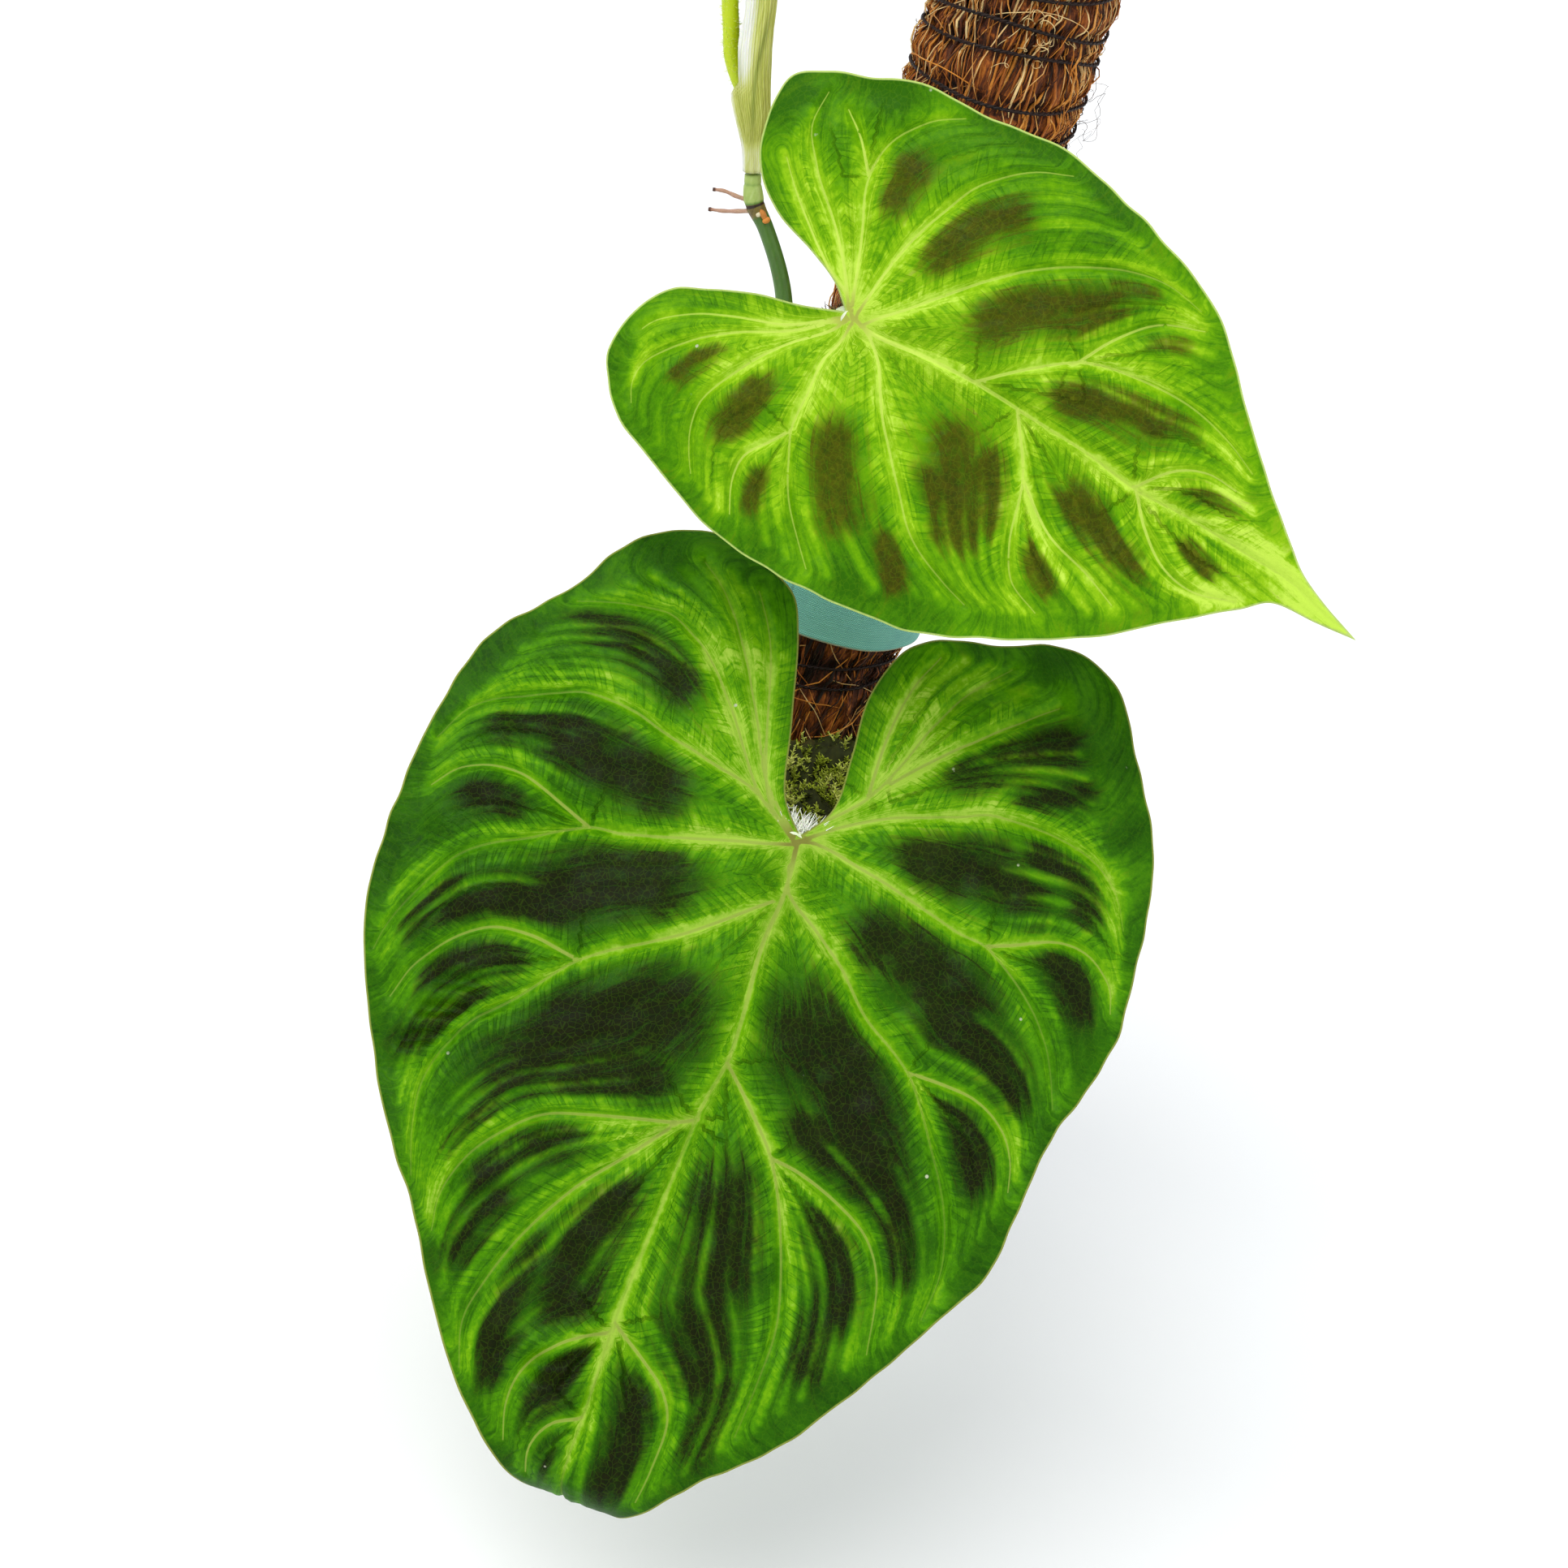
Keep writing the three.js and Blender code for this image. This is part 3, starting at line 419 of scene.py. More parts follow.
def blade_finish(name, greens, patch, line, rim, cover):
    """The face of a blade. greens run from its darkest to its brightest, cover is the patches' strength."""
    f = Finish(name, Roughness=0.42, Specular_IOR_Level=0.06)
    across, along, off = f.field("across"), f.field("along"), f.field("from_vein")
    spot = f.add("CombineXYZ", {0: across, 1: along})
    flow = f.add("CombineXYZ", {0: f.times(f.field("flow"), 1.5),
                                1: f.times(f.field("reach"), 0.05)})
    fine_flow = f.add("CombineXYZ", {0: f.times(f.field("flow"), 5.0),
                                     1: f.times(f.field("reach"), 0.16)})
    forward = f.minus(f.field("run"), f.times(off, 0.55))
    beside = f.add("CombineXYZ", {0: f.times(forward, 0.42), 1: f.times(off, 0.06)})
    streak = f.minus(f.noise(flow, 1.0, 3.0, 0.6), 0.5)
    fine_streak = f.minus(f.noise(fine_flow, 1.0, 3.0, 0.6), 0.5)
    hatch = f.minus(f.noise(beside, 1.0, 2.0, 0.5), 0.5)
    mottle = f.noise(spot, 0.55, 5.0, 0.7)
    blur = f.minus(mottle, 0.5)
    net = f.cells(spot, 0.75)
    tone = f.plus(f.field("tone"), f.times(streak, 0.85))
    tone = f.plus(tone, f.times(fine_streak, 0.5))
    near = f.times(f.between(off, 12.0, 3.0), f.between(off, 0.8, 2.5))
    near = f.times(near, f.between(f.field("ending"), 0.9, 0.7))
    dark_thread = f.times(f.between(f.maths("ABSOLUTE", hatch), 0.05, 0.0), near)
    hatching = f.minus(f.times(hatch, near), f.times(dark_thread, 0.3))
    tone = f.plus(tone, f.times(hatching, 0.55))
    tone = f.plus(tone, f.times(blur, 0.6), clamp=True)
    green = f.ramp(tone, list(zip((0.0, 0.3, 0.55, 0.78, 1.0), greens)))
    frayed = f.plus(f.field("patch"), f.times(streak, 1.7))
    frayed = f.plus(frayed, f.times(fine_streak, 1.1))
    frayed = f.plus(frayed, f.times(blur, 0.55))
    dark = f.between(frayed, -0.05, 0.95, 0.0, cover)
    shade = f.ramp(mottle, [(0.32, patch[0]), (0.68, patch[1])])
    colour = f.blended(dark, green, shade)
    cell = f.between(net, 0.0, 0.08, 0.07, 0.0)
    colour = f.blended(cell, colour, paint(greens[3]))
    thread = f.times(f.between(f.field("thread"), 1.0, 0.45), f.field("thread_strength"))
    colour = f.blended(thread, colour, paint(line[0]))
    flush = f.times(f.between(f.field("reach"), 7.0, 1.5), 0.6)
    colour = f.blended(f.times(thread, flush), colour, paint(line[1]))
    colour = f.blended(f.between(f.field("inwards"), 0.55, 0.2), colour, paint(rim))
    speck = f.between(f.cells(spot, 0.16, "F1"), 0.08, 0.05)
    chance = f.between(f.noise(spot, 0.11, 1.0), 0.60, 0.66)
    colour = f.blended(f.times(speck, chance), colour, paint("b9bfa0"))
    f.feed("Base Color", colour)
    f.feed("Roughness", f.between(blur, -0.25, 0.25, 0.36, 0.5))
    fine = f.bump(f.noise(spot, 2.6, 3.0), 0.06, 0.4)
    fine = f.bump(net, 0.10, 0.3, fine)
    fine = f.bump(fine_streak, 0.5, 0.5, fine)
    f.feed("Normal", f.bump(hatching, 0.35, 0.8, fine))
    return f.material


def underside_finish(name, pale, flush):
    """The back of a blade: pale green, flushed red between its raised ribs."""
    f = Finish(name, Roughness=0.5, Specular_IOR_Level=0.35)
    spot = f.add("CombineXYZ", {0: f.field("across"), 1: f.field("along")})
    mottle = f.noise(spot, 0.2, 5.0, 0.6)
    red = f.times(f.between(f.field("from_vein"), 1.5, 8.0), f.between(mottle, 0.3, 0.6))
    red = f.times(red, f.between(f.field("inwards"), 2.0, 12.0))
    net = f.between(f.cells(spot, 0.5), 0.0, 0.1, 1.0, 0.0)
    base = f.ramp(mottle, [(0.3, pale[0]), (0.7, pale[1])])
    colour = f.blended(f.times(red, 0.8), base, paint(flush))
    colour = f.blended(f.times(net, 0.3), colour, paint(pale[1]))
    f.feed("Base Color", colour)
    f.feed("Normal", f.bump(f.cells(spot, 0.5), 0.25, 0.6))
    return f.material


# Blades

def blade_frame(leaf):
    """Unit vectors across a blade, along it and out of its face."""
    along = np.array(leaf["along"]) / np.linalg.norm(leaf["along"])
    facing = np.array(leaf["facing"]) / np.linalg.norm(leaf["facing"])
    return np.cross(facing, along), along, facing


def blade_surface(leaf):
    """A function that takes u, v and a lift off the surface, and gives the points."""
    across, along, facing = blade_frame(leaf)
    first, last = leaf["span"]

    def dip(v):
        arch = leaf["slopes"][0] + (leaf["slopes"][1] - leaf["slopes"][0]) * (v - first) / (last - first)
        return np.radians(arch) + np.maximum(0, v - leaf["curl_start"]) / leaf["curl_radius"]

    lowest, highest = -150, 220
    stations = np.arange(lowest, highest + 1)
    slope = dip(stations[:-1] + 0.5)
    reach = np.concatenate([[0], np.cumsum(np.cos(slope))])
    height = np.concatenate([[0], -np.cumsum(np.sin(slope))])
    start = int(np.flatnonzero(stations == 0)[0])
    reach, height = reach - reach[start], height - height[start]

    def surface(u, v, lift):
        off = lift - u * u / (2 * leaf["droop_radius"])
        forward = np.interp(v, stations, reach) + off * np.sin(dip(v))
        upward = np.interp(v, stations, height) + off * np.cos(dip(v))
        spread = np.outer(u, across) + np.outer(forward, along) + np.outer(upward, facing)
        return np.array(leaf["junction"]) + spread

    return surface


def nearest(points, line):
    """Each point's distance to a polyline, and how far along it the nearest spot lies."""
    start, step = line[:-1], np.diff(line, axis=0)
    length = np.linalg.norm(step, axis=1)
    run = np.concatenate([[0], np.cumsum(length)[:-1]])
    offset = points[:, None, :] - start[None]
    share = np.clip((offset * step).sum(2) / length ** 2, 0, 1)
    gap = offset - share[..., None] * step
    distance = np.linalg.norm(gap, axis=2)
    best = distance.argmin(1)
    rows = np.arange(len(points))
    return distance[rows, best], run[best] + share[rows, best] * length[best]


def gaps_to(points, others):
    """How far each point is from the nearest of the others."""
    tree = KDTree(len(others))
    for i, other in enumerate(others):
        tree.insert((*other, 0), i)
    tree.balance()
    return np.array([tree.find((*point, 0))[2] for point in points])


def inside(points, outline):
    """Whether each point lies in a closed outline, by counting the edges that a ray crosses."""
    a, b = outline, np.roll(outline, -1, axis=0)
    crossed = np.zeros(len(points), bool)
    for (au, av), (bu, bv) in zip(a, b):
        spans = (av > points[:, 1]) != (bv > points[:, 1])
        at = au + (points[:, 1] - av) * (bu - au) / (bv - av if bv != av else 1)
        crossed ^= spans & (points[:, 0] < at)
    return crossed


def blade_points(leaf, outline, veins):
    """The outline's points, rows of points along the veins, and an even field between them."""
    gap = leaf["spacing"]
    rows = []
    for line in veins:
        heading = np.gradient(line, axis=0)
        heading /= np.linalg.norm(heading, axis=1)[:, None]
        beside = np.stack([-heading[:, 1], heading[:, 0]], axis=1)
        rows += [line, line + 0.8 * gap * beside, line - 0.8 * gap * beside]
    rows = np.vstack(rows)
    _, first = np.unique(np.round(rows / (0.55 * gap)), axis=0, return_index=True)
    rows = rows[np.sort(first)]
    low, high = outline.min(0), outline.max(0)
    across = np.arange(low[0], high[0], gap)
    grid = [np.stack([across + gap * 0.5 * (k % 2), np.full(len(across), v)], axis=1)
            for k, v in enumerate(np.arange(low[1], high[1], gap * math.sqrt(3) / 2))]
    grid = np.vstack(grid)
    grid = grid[inside(grid, outline)]
    grid = grid[(gaps_to(grid, rows) > 0.62 * gap)]
    loose = np.vstack([rows[inside(rows, outline)], grid])
    loose = loose[gaps_to(loose, outline) > 0.6 * gap]
    return np.vstack([outline, loose])


def blade_faces(spots, outline):
    """Triangles over the points inside the outline, anticlockwise in u and v."""
    count = len(outline)
    border = [(i, (i + 1) % count) for i in range(count)]
    found = delaunay_2d_cdt([Vector(spot) for spot in spots], border, [], 1, 1e-7)
    source = [origins[0] for origins in found[3]]
    return np.array([[source[i] for i in face] for face in found[2]])


def whole_veins(leaf):
    """Each vein from the junction to its end, with a forked one's course before the fork, and the midrib."""
    veins = [even_line(points, 1.0) for points in [leaf["midrib"], *leaf["veins"]]]
    courses = []
    junction_radius = 3
    for k, line in enumerate(veins):
        if k and np.linalg.norm(line[0]) > junction_radius:
            nearest_course = min(courses, key=lambda other: np.linalg.norm(other - line[0], axis=1).min())
            fork = np.linalg.norm(nearest_course - line[0], axis=1).argmin()
            line = np.vstack([nearest_course[:fork], line])
        courses.append(line)
    return veins, courses


def lesser_veins(courses, outline, pitch):
    """Veins between the main ones, each blended from its two neighbours, in order round the blade."""
    ends = [np.linalg.norm(outline - course[-1], axis=1).argmin() for course in courses]
    order = np.argsort(ends)
    steps = 60
    found = []
    for first, second in zip(order[:-1], order[1:]):
        a, b = evenly(courses[first], count=steps), evenly(courses[second], count=steps)
        widest = np.linalg.norm(a - b, axis=1).max()
        count = max(1, round(widest / pitch))
        for k in range(count):
            share = k / count
            found.append((a * (1 - share) + b * share, k == 0))
    found.append((evenly(courses[order[-1]], count=steps), True))
    return found


def blade_outline(leaf):
    """The blade's closed outline, with a slightly scalloped margin."""
    sides = [smooth_line(leaf["right"], 8), smooth_line(leaf["left"], 8)[-2::-1]]
    outline = evenly(np.vstack(sides), leaf["spacing"])[:-1]
    inward = np.array([0, 40]) - outline
    inward /= np.linalg.norm(inward, axis=1)[:, None]
    scallop = 0.12 * ripple(outline[:, 0], outline[:, 1], 11, 5)
    return outline + inward * (scallop * ease(np.linalg.norm(outline, axis=1), 20, 40))[:, None]


def beside_main_veins(leaf, spots, veins):
    """The nearest vein: how far off, how far along, its half width there, and the share of its length."""
    total = len(spots)
    off, run, half, ending = np.full(total, 1e9), np.zeros(total), np.ones(total), np.zeros(total)
    for k, line in enumerate(veins):
        distance, far = nearest(spots, line[::2])
        width = leaf["vein_width"] * (1.35 if k == 0 else 1) * (1.15 - 0.75 * far / far.max())
        closer = distance < off
        off = np.where(closer, distance, off)
        run = np.where(closer, far, run)
        ending = np.where(closer, far / far.max(), ending)
        half = np.where(closer, width, half)
    return off, run, half, ending


def beside_lesser_veins(leaf, spots, courses, outline):
    """How far off the lesser veins are, which show towards the margin, and the place in their order."""
    total = len(spots)
    faint = np.full(total, 1e9)
    pull, order = np.zeros(total), np.zeros(total)
    draw = np.random.default_rng(7)
    for rank, (line, is_main) in enumerate(lesser_veins(courses, outline, leaf["lesser_pitch"])):
        strength = draw.uniform(0.35, 1)
        distance, far = nearest(spots, line)
        weight = 1 / (distance + 0.8) ** 4
        pull, order = pull + weight, order + weight * rank
        if not is_main:
            shown = ease(far / far.max(), 0.25, 0.7) * strength
            faint = np.minimum(faint, distance + 3 * (1 - shown))
    return faint, order / pull


def dark_patches(leaf, spots):
    """1 along the middle of each dark patch, falling to 0 beyond its half width."""
    patch = np.zeros(len(spots))
    for points, half_width in leaf["patches"]:
        distance, _ = nearest(spots, even_line(points, 3.0))
        patch = np.maximum(patch, 1 - ease(distance, 0, 2.3 * half_width))
    return patch


def blade(name, leaf, node, face_material, back_material):
    """A whole blade: its face, its back a little behind, and the rim that joins them."""
    outline = blade_outline(leaf)
    veins, courses = whole_veins(leaf)
    spots = blade_points(leaf, outline, veins)
    u, v = spots[:, 0], spots[:, 1]
    total, tip = len(spots), v.max()
    off, run, half, ending = beside_main_veins(leaf, spots, veins)
    faint, flow = beside_lesser_veins(leaf, spots, courses, outline)
    inwards, _ = nearest(spots, np.vstack([outline[::2], outline[:1]]))
    patch = dark_patches(leaf, spots)
    reach = np.hypot(u - 1, v + 1)

    # Relief: sunken veins, the puffed blade between them, puckers, creases and a waved margin
    middle = ease(inwards, 0, 14)
    outer = ease(reach, 30, 60) * ease(inwards, 0, 5)
    puff = 1.7 * (1 - np.exp(-off / 2.2)) * middle * ease(reach, 4, 26)
    groove = 0.6 * np.exp(-(off / (0.9 * half)) ** 2)
    sunk = leaf["quilting"] * np.exp(-(faint / 1.3) ** 2) * ease(off, 1.2, 4) * outer
    pucker = np.sin(FULL_TURN * run / 2.6 + 1.5 * ripple(u, v, 12, 8)) * np.exp(-((off - 3) / 2.4) ** 2)
    lumps = 0.22 * ripple(u, v, 9, 3) + 0.5 * ripple(u, v, 34, 4)
    wave = leaf["waves"] * ripple(u, v, 46, 6) * np.exp(-inwards / 9) * ease(reach, 12, 40)
    lift = puff - groove - sunk + (0.14 * pucker + lumps) * middle + wave
    for points, depth, half_width in leaf["creases"]:
        distance, _ = nearest(spots, even_line(points, 1.0))
        lift -= depth * np.exp(-(distance / half_width) ** 2)
        lift += 0.55 * depth * np.exp(-((distance - 2.2 * half_width) / half_width) ** 2)
    lift *= 1 - 0.8 * ease(v, tip - 22, tip - 4)

    # Ribs stand out on the back, and the blade thins towards its margin
    rib = (0.35 + 1.5 * np.exp(-reach / 22)) * np.exp(-(off / (1.3 * half)) ** 2) * half
    solid = ease(inwards, 0, 6)
    thickness = 0.22 + (0.5 + rib) * solid

    # Brightness of the green: a lime band along the veins and near the junction, and a tone for each part
    near, wide = leaf["glow"]
    near = near * (1 - 0.45 * ease(run, 10, 90))
    far = ease(v, 25, 75)
    bright = leaf["brightness"] + near * np.exp(-off / 2.1) + wide * np.exp(-off / 10)
    bright += leaf["striping"] * (np.exp(-(faint / 1.5) ** 2) - 0.35) * outer
    bright += leaf["centre_tone"] * np.exp(-(reach / 42) ** 2) - 0.1 * np.exp(-inwards / 4)
    bright += leaf["margin_tone"] * ease(reach, 35, 85)
    bright += leaf["tip_tone"] * ease(v, tip - 45, tip - 8)
    bright += leaf["lobe_tone"] * ease(-v, 4, 30) + 0.05 * ripple(u, v, 16, 12)
    bright += leaf["far_tone"] * far
    bright += leaf["midrib_tone"] * np.exp(-(u / 24) ** 2) * far * (1 - ease(v, 105, 140))
    bright += leaf["right_tone"] * ease(u, 15, 48) * (1 - ease(v, 10, 50))
    veined = 1.15 * np.exp(-(off / 2.4) ** 2) + 0.5 * np.exp(-(faint / 1.4) ** 2) * outer

    fields = {
        "across": u, "along": v, "from_vein": off, "run": run, "reach": reach, "inwards": inwards,
        "flow": flow, "tone": bright, "patch": patch - veined,
        "ending": ending, "thread": off / (0.5 * half),
        "thread_strength": np.clip(0.95 - 0.85 * run / 90, 0.2, 0.9),
    }
    surface = blade_surface(leaf)
    faces = blade_faces(spots, outline)
    here = np.arange(len(outline))
    after = np.roll(here, -1)
    rim = np.vstack([np.stack([here, after, after + total], 1),
                     np.stack([here, after + total, here + total], 1)])
    points = np.vstack([surface(u, v, lift), surface(u, v, lift - thickness)])
    face_materials = np.repeat([0, 1, 0], [len(faces), len(faces), len(rim)])
    faces = np.vstack([faces[:, ::-1], faces + total, rim])
    fields = {field: np.concatenate([values, values]) for field, values in fields.items()}
    piece(name, points, faces, [face_material, back_material], [node], fields, face_materials)


# Tubes, turned bodies and shells

def tubes(lines, radii, sides, upright):
    """Closed tubes about many lines of equally many points, as points and triangles."""
    lines = np.asarray(lines, float)
    heading = np.gradient(lines, axis=1)
    heading /= np.linalg.norm(heading, axis=2)[..., None]
    right = np.cross(np.broadcast_to(upright, lines.shape), heading)
    right /= np.linalg.norm(right, axis=2)[..., None]
    above = np.cross(heading, right)
    angles = FULL_TURN * np.arange(sides) / sides
    radii = np.asarray(radii, float)
    if radii.ndim == 2:
        radii = radii[..., None] * np.ones(sides)
    spread = (radii * np.cos(angles))[..., None] * right[:, :, None]
    spread += (radii * np.sin(angles))[..., None] * above[:, :, None]
    points = lines[:, :, None] + spread
    index = np.arange(points[..., 0].size).reshape(points.shape[:3])
    after = np.roll(index, -1, axis=2)
    walls = [[index[:, :-1], after[:, :-1], after[:, 1:]], [index[:, :-1], after[:, 1:], index[:, 1:]]]
    faces = [np.stack(wall, axis=-1).reshape(-1, 3) for wall in walls]
    for j in range(1, sides - 1):
        faces.append(np.stack([index[:, 0, 0], index[:, 0, j + 1], index[:, 0, j]], axis=-1))
        faces.append(np.stack([index[:, -1, 0], index[:, -1, j], index[:, -1, j + 1]], axis=-1))
    return points.reshape(-1, 3), np.vstack(faces)


def along_tubes(values, sides):
    """A value for each point of each line, repeated for the points of its rings."""
    return np.repeat(np.asarray(values, float).ravel(), sides)


def shell(front, back, ring=False):
    """A thin closed body between two grids of points. A ring's last column meets its first."""
    rows, columns = front.shape[:2]
    index = np.arange(rows * columns).reshape(rows, columns)
    if ring:
        index = np.hstack([index, index[:, :1]])
    a, b, c, d = index[:-1, :-1], index[:-1, 1:], index[1:, 1:], index[1:, :-1]
    behind = rows * columns
    faces = [(a, b, c), (a, c, d), (a + behind, c + behind, b + behind), (a + behind, d + behind, c + behind)]

    def wall(start, end):
        faces.append((start, end + behind, start + behind))
        faces.append((start, end, end + behind))

    wall(index[0, 1:], index[0, :-1])
    wall(index[-1, :-1], index[-1, 1:])
    if not ring:
        wall(index[:-1, 0], index[1:, 0])
        wall(index[1:, -1], index[:-1, -1])
    faces = np.vstack([np.stack(face, axis=-1).reshape(-1, 3) for face in faces])
    return np.vstack([front.reshape(-1, 3), back.reshape(-1, 3)]), faces


def turned(profile, sides, x=0, y=0):
    """A profile of radius and height, closed on itself, turned about an upright axis."""
    angles = FULL_TURN * np.arange(sides) / sides
    rings = [np.stack([x + r * np.cos(angles), y + r * np.sin(angles), np.full(sides, z)], axis=1)
             for r, z in profile]
    index = np.arange(len(profile) * sides).reshape(len(profile), sides)
    index = np.vstack([index, index[:1]])
    after = np.roll(index, -1, axis=1)
    faces = np.stack([index[:-1], after[:-1], after[1:], index[1:]], axis=-1).reshape(-1, 4)
    return np.vstack(rings), faces


def rounded(corners, radius, steps=5):
    """A closed profile with its corners turned into arcs, or left sharp where the radius is 0."""
    path = []
    count = len(corners)
    for i, (corner, bend) in enumerate(zip(corners, radius)):
        corner = np.array(corner, float)
        if bend == 0:
            path.append(corner)
            continue
        before = np.array(corners[i - 1], float) - corner
        beyond = np.array(corners[(i + 1) % count], float) - corner
        start = corner + before / np.linalg.norm(before) * bend
        end = corner + beyond / np.linalg.norm(beyond) * bend
        for t in np.linspace(0, 1, steps):
            path.append((1 - t) ** 2 * start + 2 * t * (1 - t) * corner + t * t * end)
    return path


class Heap:
    """Many small bodies gathered into one mesh, with a tint for each."""

    def __init__(self):
        self.points, self.faces, self.tints, self.count = [], [], [], 0

    def add(self, body, tints):
        points, faces = body
        self.points.append(points)
        self.faces.append(faces + self.count)
        self.tints.append(np.broadcast_to(tints, len(points)))
        self.count += len(points)

    def made(self, name, material, slot, nodes=()):
        fields = {"tint": np.concatenate(self.tints)}
        piece(name, np.vstack(self.points), np.vstack(self.faces), [material], nodes, fields)


# Coir pole

STRAND_DRAW = np.random.default_rng(11)
TURN_PITCH = 8.5
TURN_COUNT = int((POLE_TOP - 5 - WIRE_BOTTOM) / TURN_PITCH)
WIRE_STRAND_RADIUS = 0.34
WIRE_TWIST_PITCH = 3.4
FIBRE_RADIUS = COIR_RADIUS - 0.9
GAP_PLACES = [(STRAND_DRAW.uniform(-math.pi, math.pi), STRAND_DRAW.uniform(195, 375)) for _ in range(16)]


def winding_height(angle):
    """How high the wire lies after turning through an angle. It wanders as a hand-wound one does."""
    wander = 1.7 * np.sin(0.37 * angle + 1) + 1.2 * np.sin(0.83 * angle + 2.1) + 0.7 * np.sin(2.3 * angle)
    return WIRE_BOTTOM + 3 + TURN_PITCH * angle / FULL_TURN + wander


def fibre_radius(angle, z, gaps=False):
    """The pole's outline: hanks of fibre, drawn in where the wire passes."""
    angle, z = np.broadcast_arrays(angle, z)
    passes = winding_height(angle[..., None] % FULL_TURN + FULL_TURN * np.arange(TURN_COUNT))
    nearest_pass = np.abs(passes - z[..., None]).min(-1)
    hanks = 0.55 * np.sin(7 * angle + 0.02 * z) + 0.35 * np.sin(12 * angle - 0.05 * z + 1)
    hanks += 0.3 * ripple(angle * COIR_RADIUS, z * 0.25, 3.2, 21)
    radius = FIBRE_RADIUS + hanks + 0.4 - 2.4 * np.exp(-(nearest_pass / 2.1) ** 2)
    radius = radius - 4.5 * ease(z, POLE_TOP - 7, POLE_TOP + 1) ** 2
    if gaps:
        for place, height in GAP_PLACES:
            turn = (angle - place + math.pi) % FULL_TURN - math.pi
            radius = radius - 5 * np.exp(-(turn * COIR_RADIUS / 1.2) ** 2 - ((z - height) / 6) ** 2)
    return radius


def on_pole(angle, z, radius):
    """Points at an angle, height and distance from the pole's axis."""
    return np.stack([radius * np.cos(angle), POLE_Y + radius * np.sin(angle), z], axis=-1)


def fibre_lines(count, length, lean, lift, points, tucked=0.5):
    """Lines that run over the pole, each with its own place, length and lean."""
    draw = STRAND_DRAW
    t = np.linspace(0, 1, points)
    size = draw.uniform(*length, count)[:, None]
    angle = draw.uniform(0, FULL_TURN, count)[:, None]
    foot = draw.uniform(COIR_BOTTOM + 30, POLE_TOP + 6, count)[:, None] - size / 2
    slant = draw.normal(0.06, lean, count)[:, None] + draw.normal(0, 0.5 * lean, count)[:, None] * (t - 0.5)
    slant = slant + 0.12 * np.sin(4 * angle + foot / 25)
    z = foot + size * t * np.cos(slant)
    angle = angle + size * t * np.sin(slant) / COIR_RADIUS
    wiggle = draw.normal(0, 0.012, (count, 1))
    angle = angle + wiggle * np.sin(FULL_TURN * (1.3 * t + draw.uniform(0, 1, (count, 1))))
    z = np.clip(z, COIR_BOTTOM + 20, POLE_TOP - 0.5)
    arch = np.sin(math.pi * t)
    rise = draw.uniform(*lift, count)[:, None] * arch ** 0.5 - tucked * (1 - arch)
    return on_pole(angle, z, fibre_radius(angle, z) + rise), angle


def outwards(angle):
    """The direction away from the pole's axis."""
    return np.stack([np.cos(angle), np.sin(angle), np.zeros_like(angle)], axis=-1)


def coir():
    """The sleeve of coconut fibre: a lumpy mat, fibres that lie along it, and stray ones."""
    rows, columns = 140, 112
    z = np.linspace(COIR_BOTTOM, POLE_TOP, rows)[:, None]
    angle = (FULL_TURN * np.arange(columns) / columns)[None]
    radius = fibre_radius(angle, z, True) - 0.5 + 0.25 * ripple(angle * COIR_RADIUS, z * 0.2, 1.3, 22)
    bore = CORE_RADIUS + 0.35
    front = on_pole(angle, z + 0 * angle, radius)
    back = on_pole(angle, z + 0 * angle, bore + 0 * radius)
    points, faces = shell(front, back, True)
    # Painted shade and light: the mat is darker where it lies deeper, in the wire's grooves and the gaps,
    # lighter on the raised hanks, and its inner face is painted near black
    depth = (radius - FIBRE_RADIUS).ravel()
    piece("coir_mat", points, faces, [coir_finish("coir_mat", 0.28)], ["coir_wrap"],
          {"tint": np.concatenate([0.38 + 0.12 * depth, 0 * depth])})

    heap = Heap()
    for count, length, lean, lift, steps, width, flat in (
            (900, (12, 32), 0.13, (0.0, 0.5), 9, (0.32, 0.6), 0.4),
            (2450, (10, 36), 0.24, (0.1, 0.9), 9, (0.14, 0.27), 1.0)):
        lines, angle = fibre_lines(count, length, lean, lift, steps)
        sides = 4 if flat < 1 else 3
        taper = 1 - 0.75 * np.linspace(-1, 1, steps) ** 4
        radii = STRAND_DRAW.uniform(*width, count)[:, None, None] * taper[:, None] * np.ones(sides)
        if flat < 1:
            radii[..., 1::2] *= flat
        body = tubes(lines, radii, sides, outwards(angle))
        tint = np.clip(STRAND_DRAW.normal(0.52, 0.25, count), 0, 1)[:, None] * np.ones(steps)
        # Painted shade: the fibres are darker below about 200 mm, where the leaves shade the pole
        tint = tint - 0.35 * (1 - ease(lines[..., 2], 150, 200))
        heap.add(body, along_tubes(tint, sides))
    heap.made("coir_fibres", coir_finish("coir_fibres", 0.18), "coir")

    strays = Heap()
    count, steps = 330, 11
    lines, angle = fibre_lines(count, (18, 42), 0.75, (0.8, 2.4), steps, 0.2)
    radii = STRAND_DRAW.uniform(0.12, 0.21, count)[:, None] * np.ones(steps)
    tint = STRAND_DRAW.uniform(0.6, 1, count)[:, None] * np.ones(steps)
    strays.add(tubes(lines, radii, 3, outwards(angle)), along_tubes(tint, 3))
    strays.add(*loose_hairs(36, 20, (6, 16), 0.07, 0.15, 4))
    strays.add(*loose_hairs(9, 26, (14, 30), 0.08, 0.2, 10, (-0.7, 0.5), (300, 340)))
    strays.add(*loose_hairs(34, 22, (4, 9), 0.13, 1.0, 1.2))
    strays.add(*loose_hairs(8, 26, (9, 15), 0.17, 1.2, 1.8, (-1.5, -1.1), (335, 343)))
    strays.made("coir_strays", coir_finish("coir_strays", 0.1), "coir")


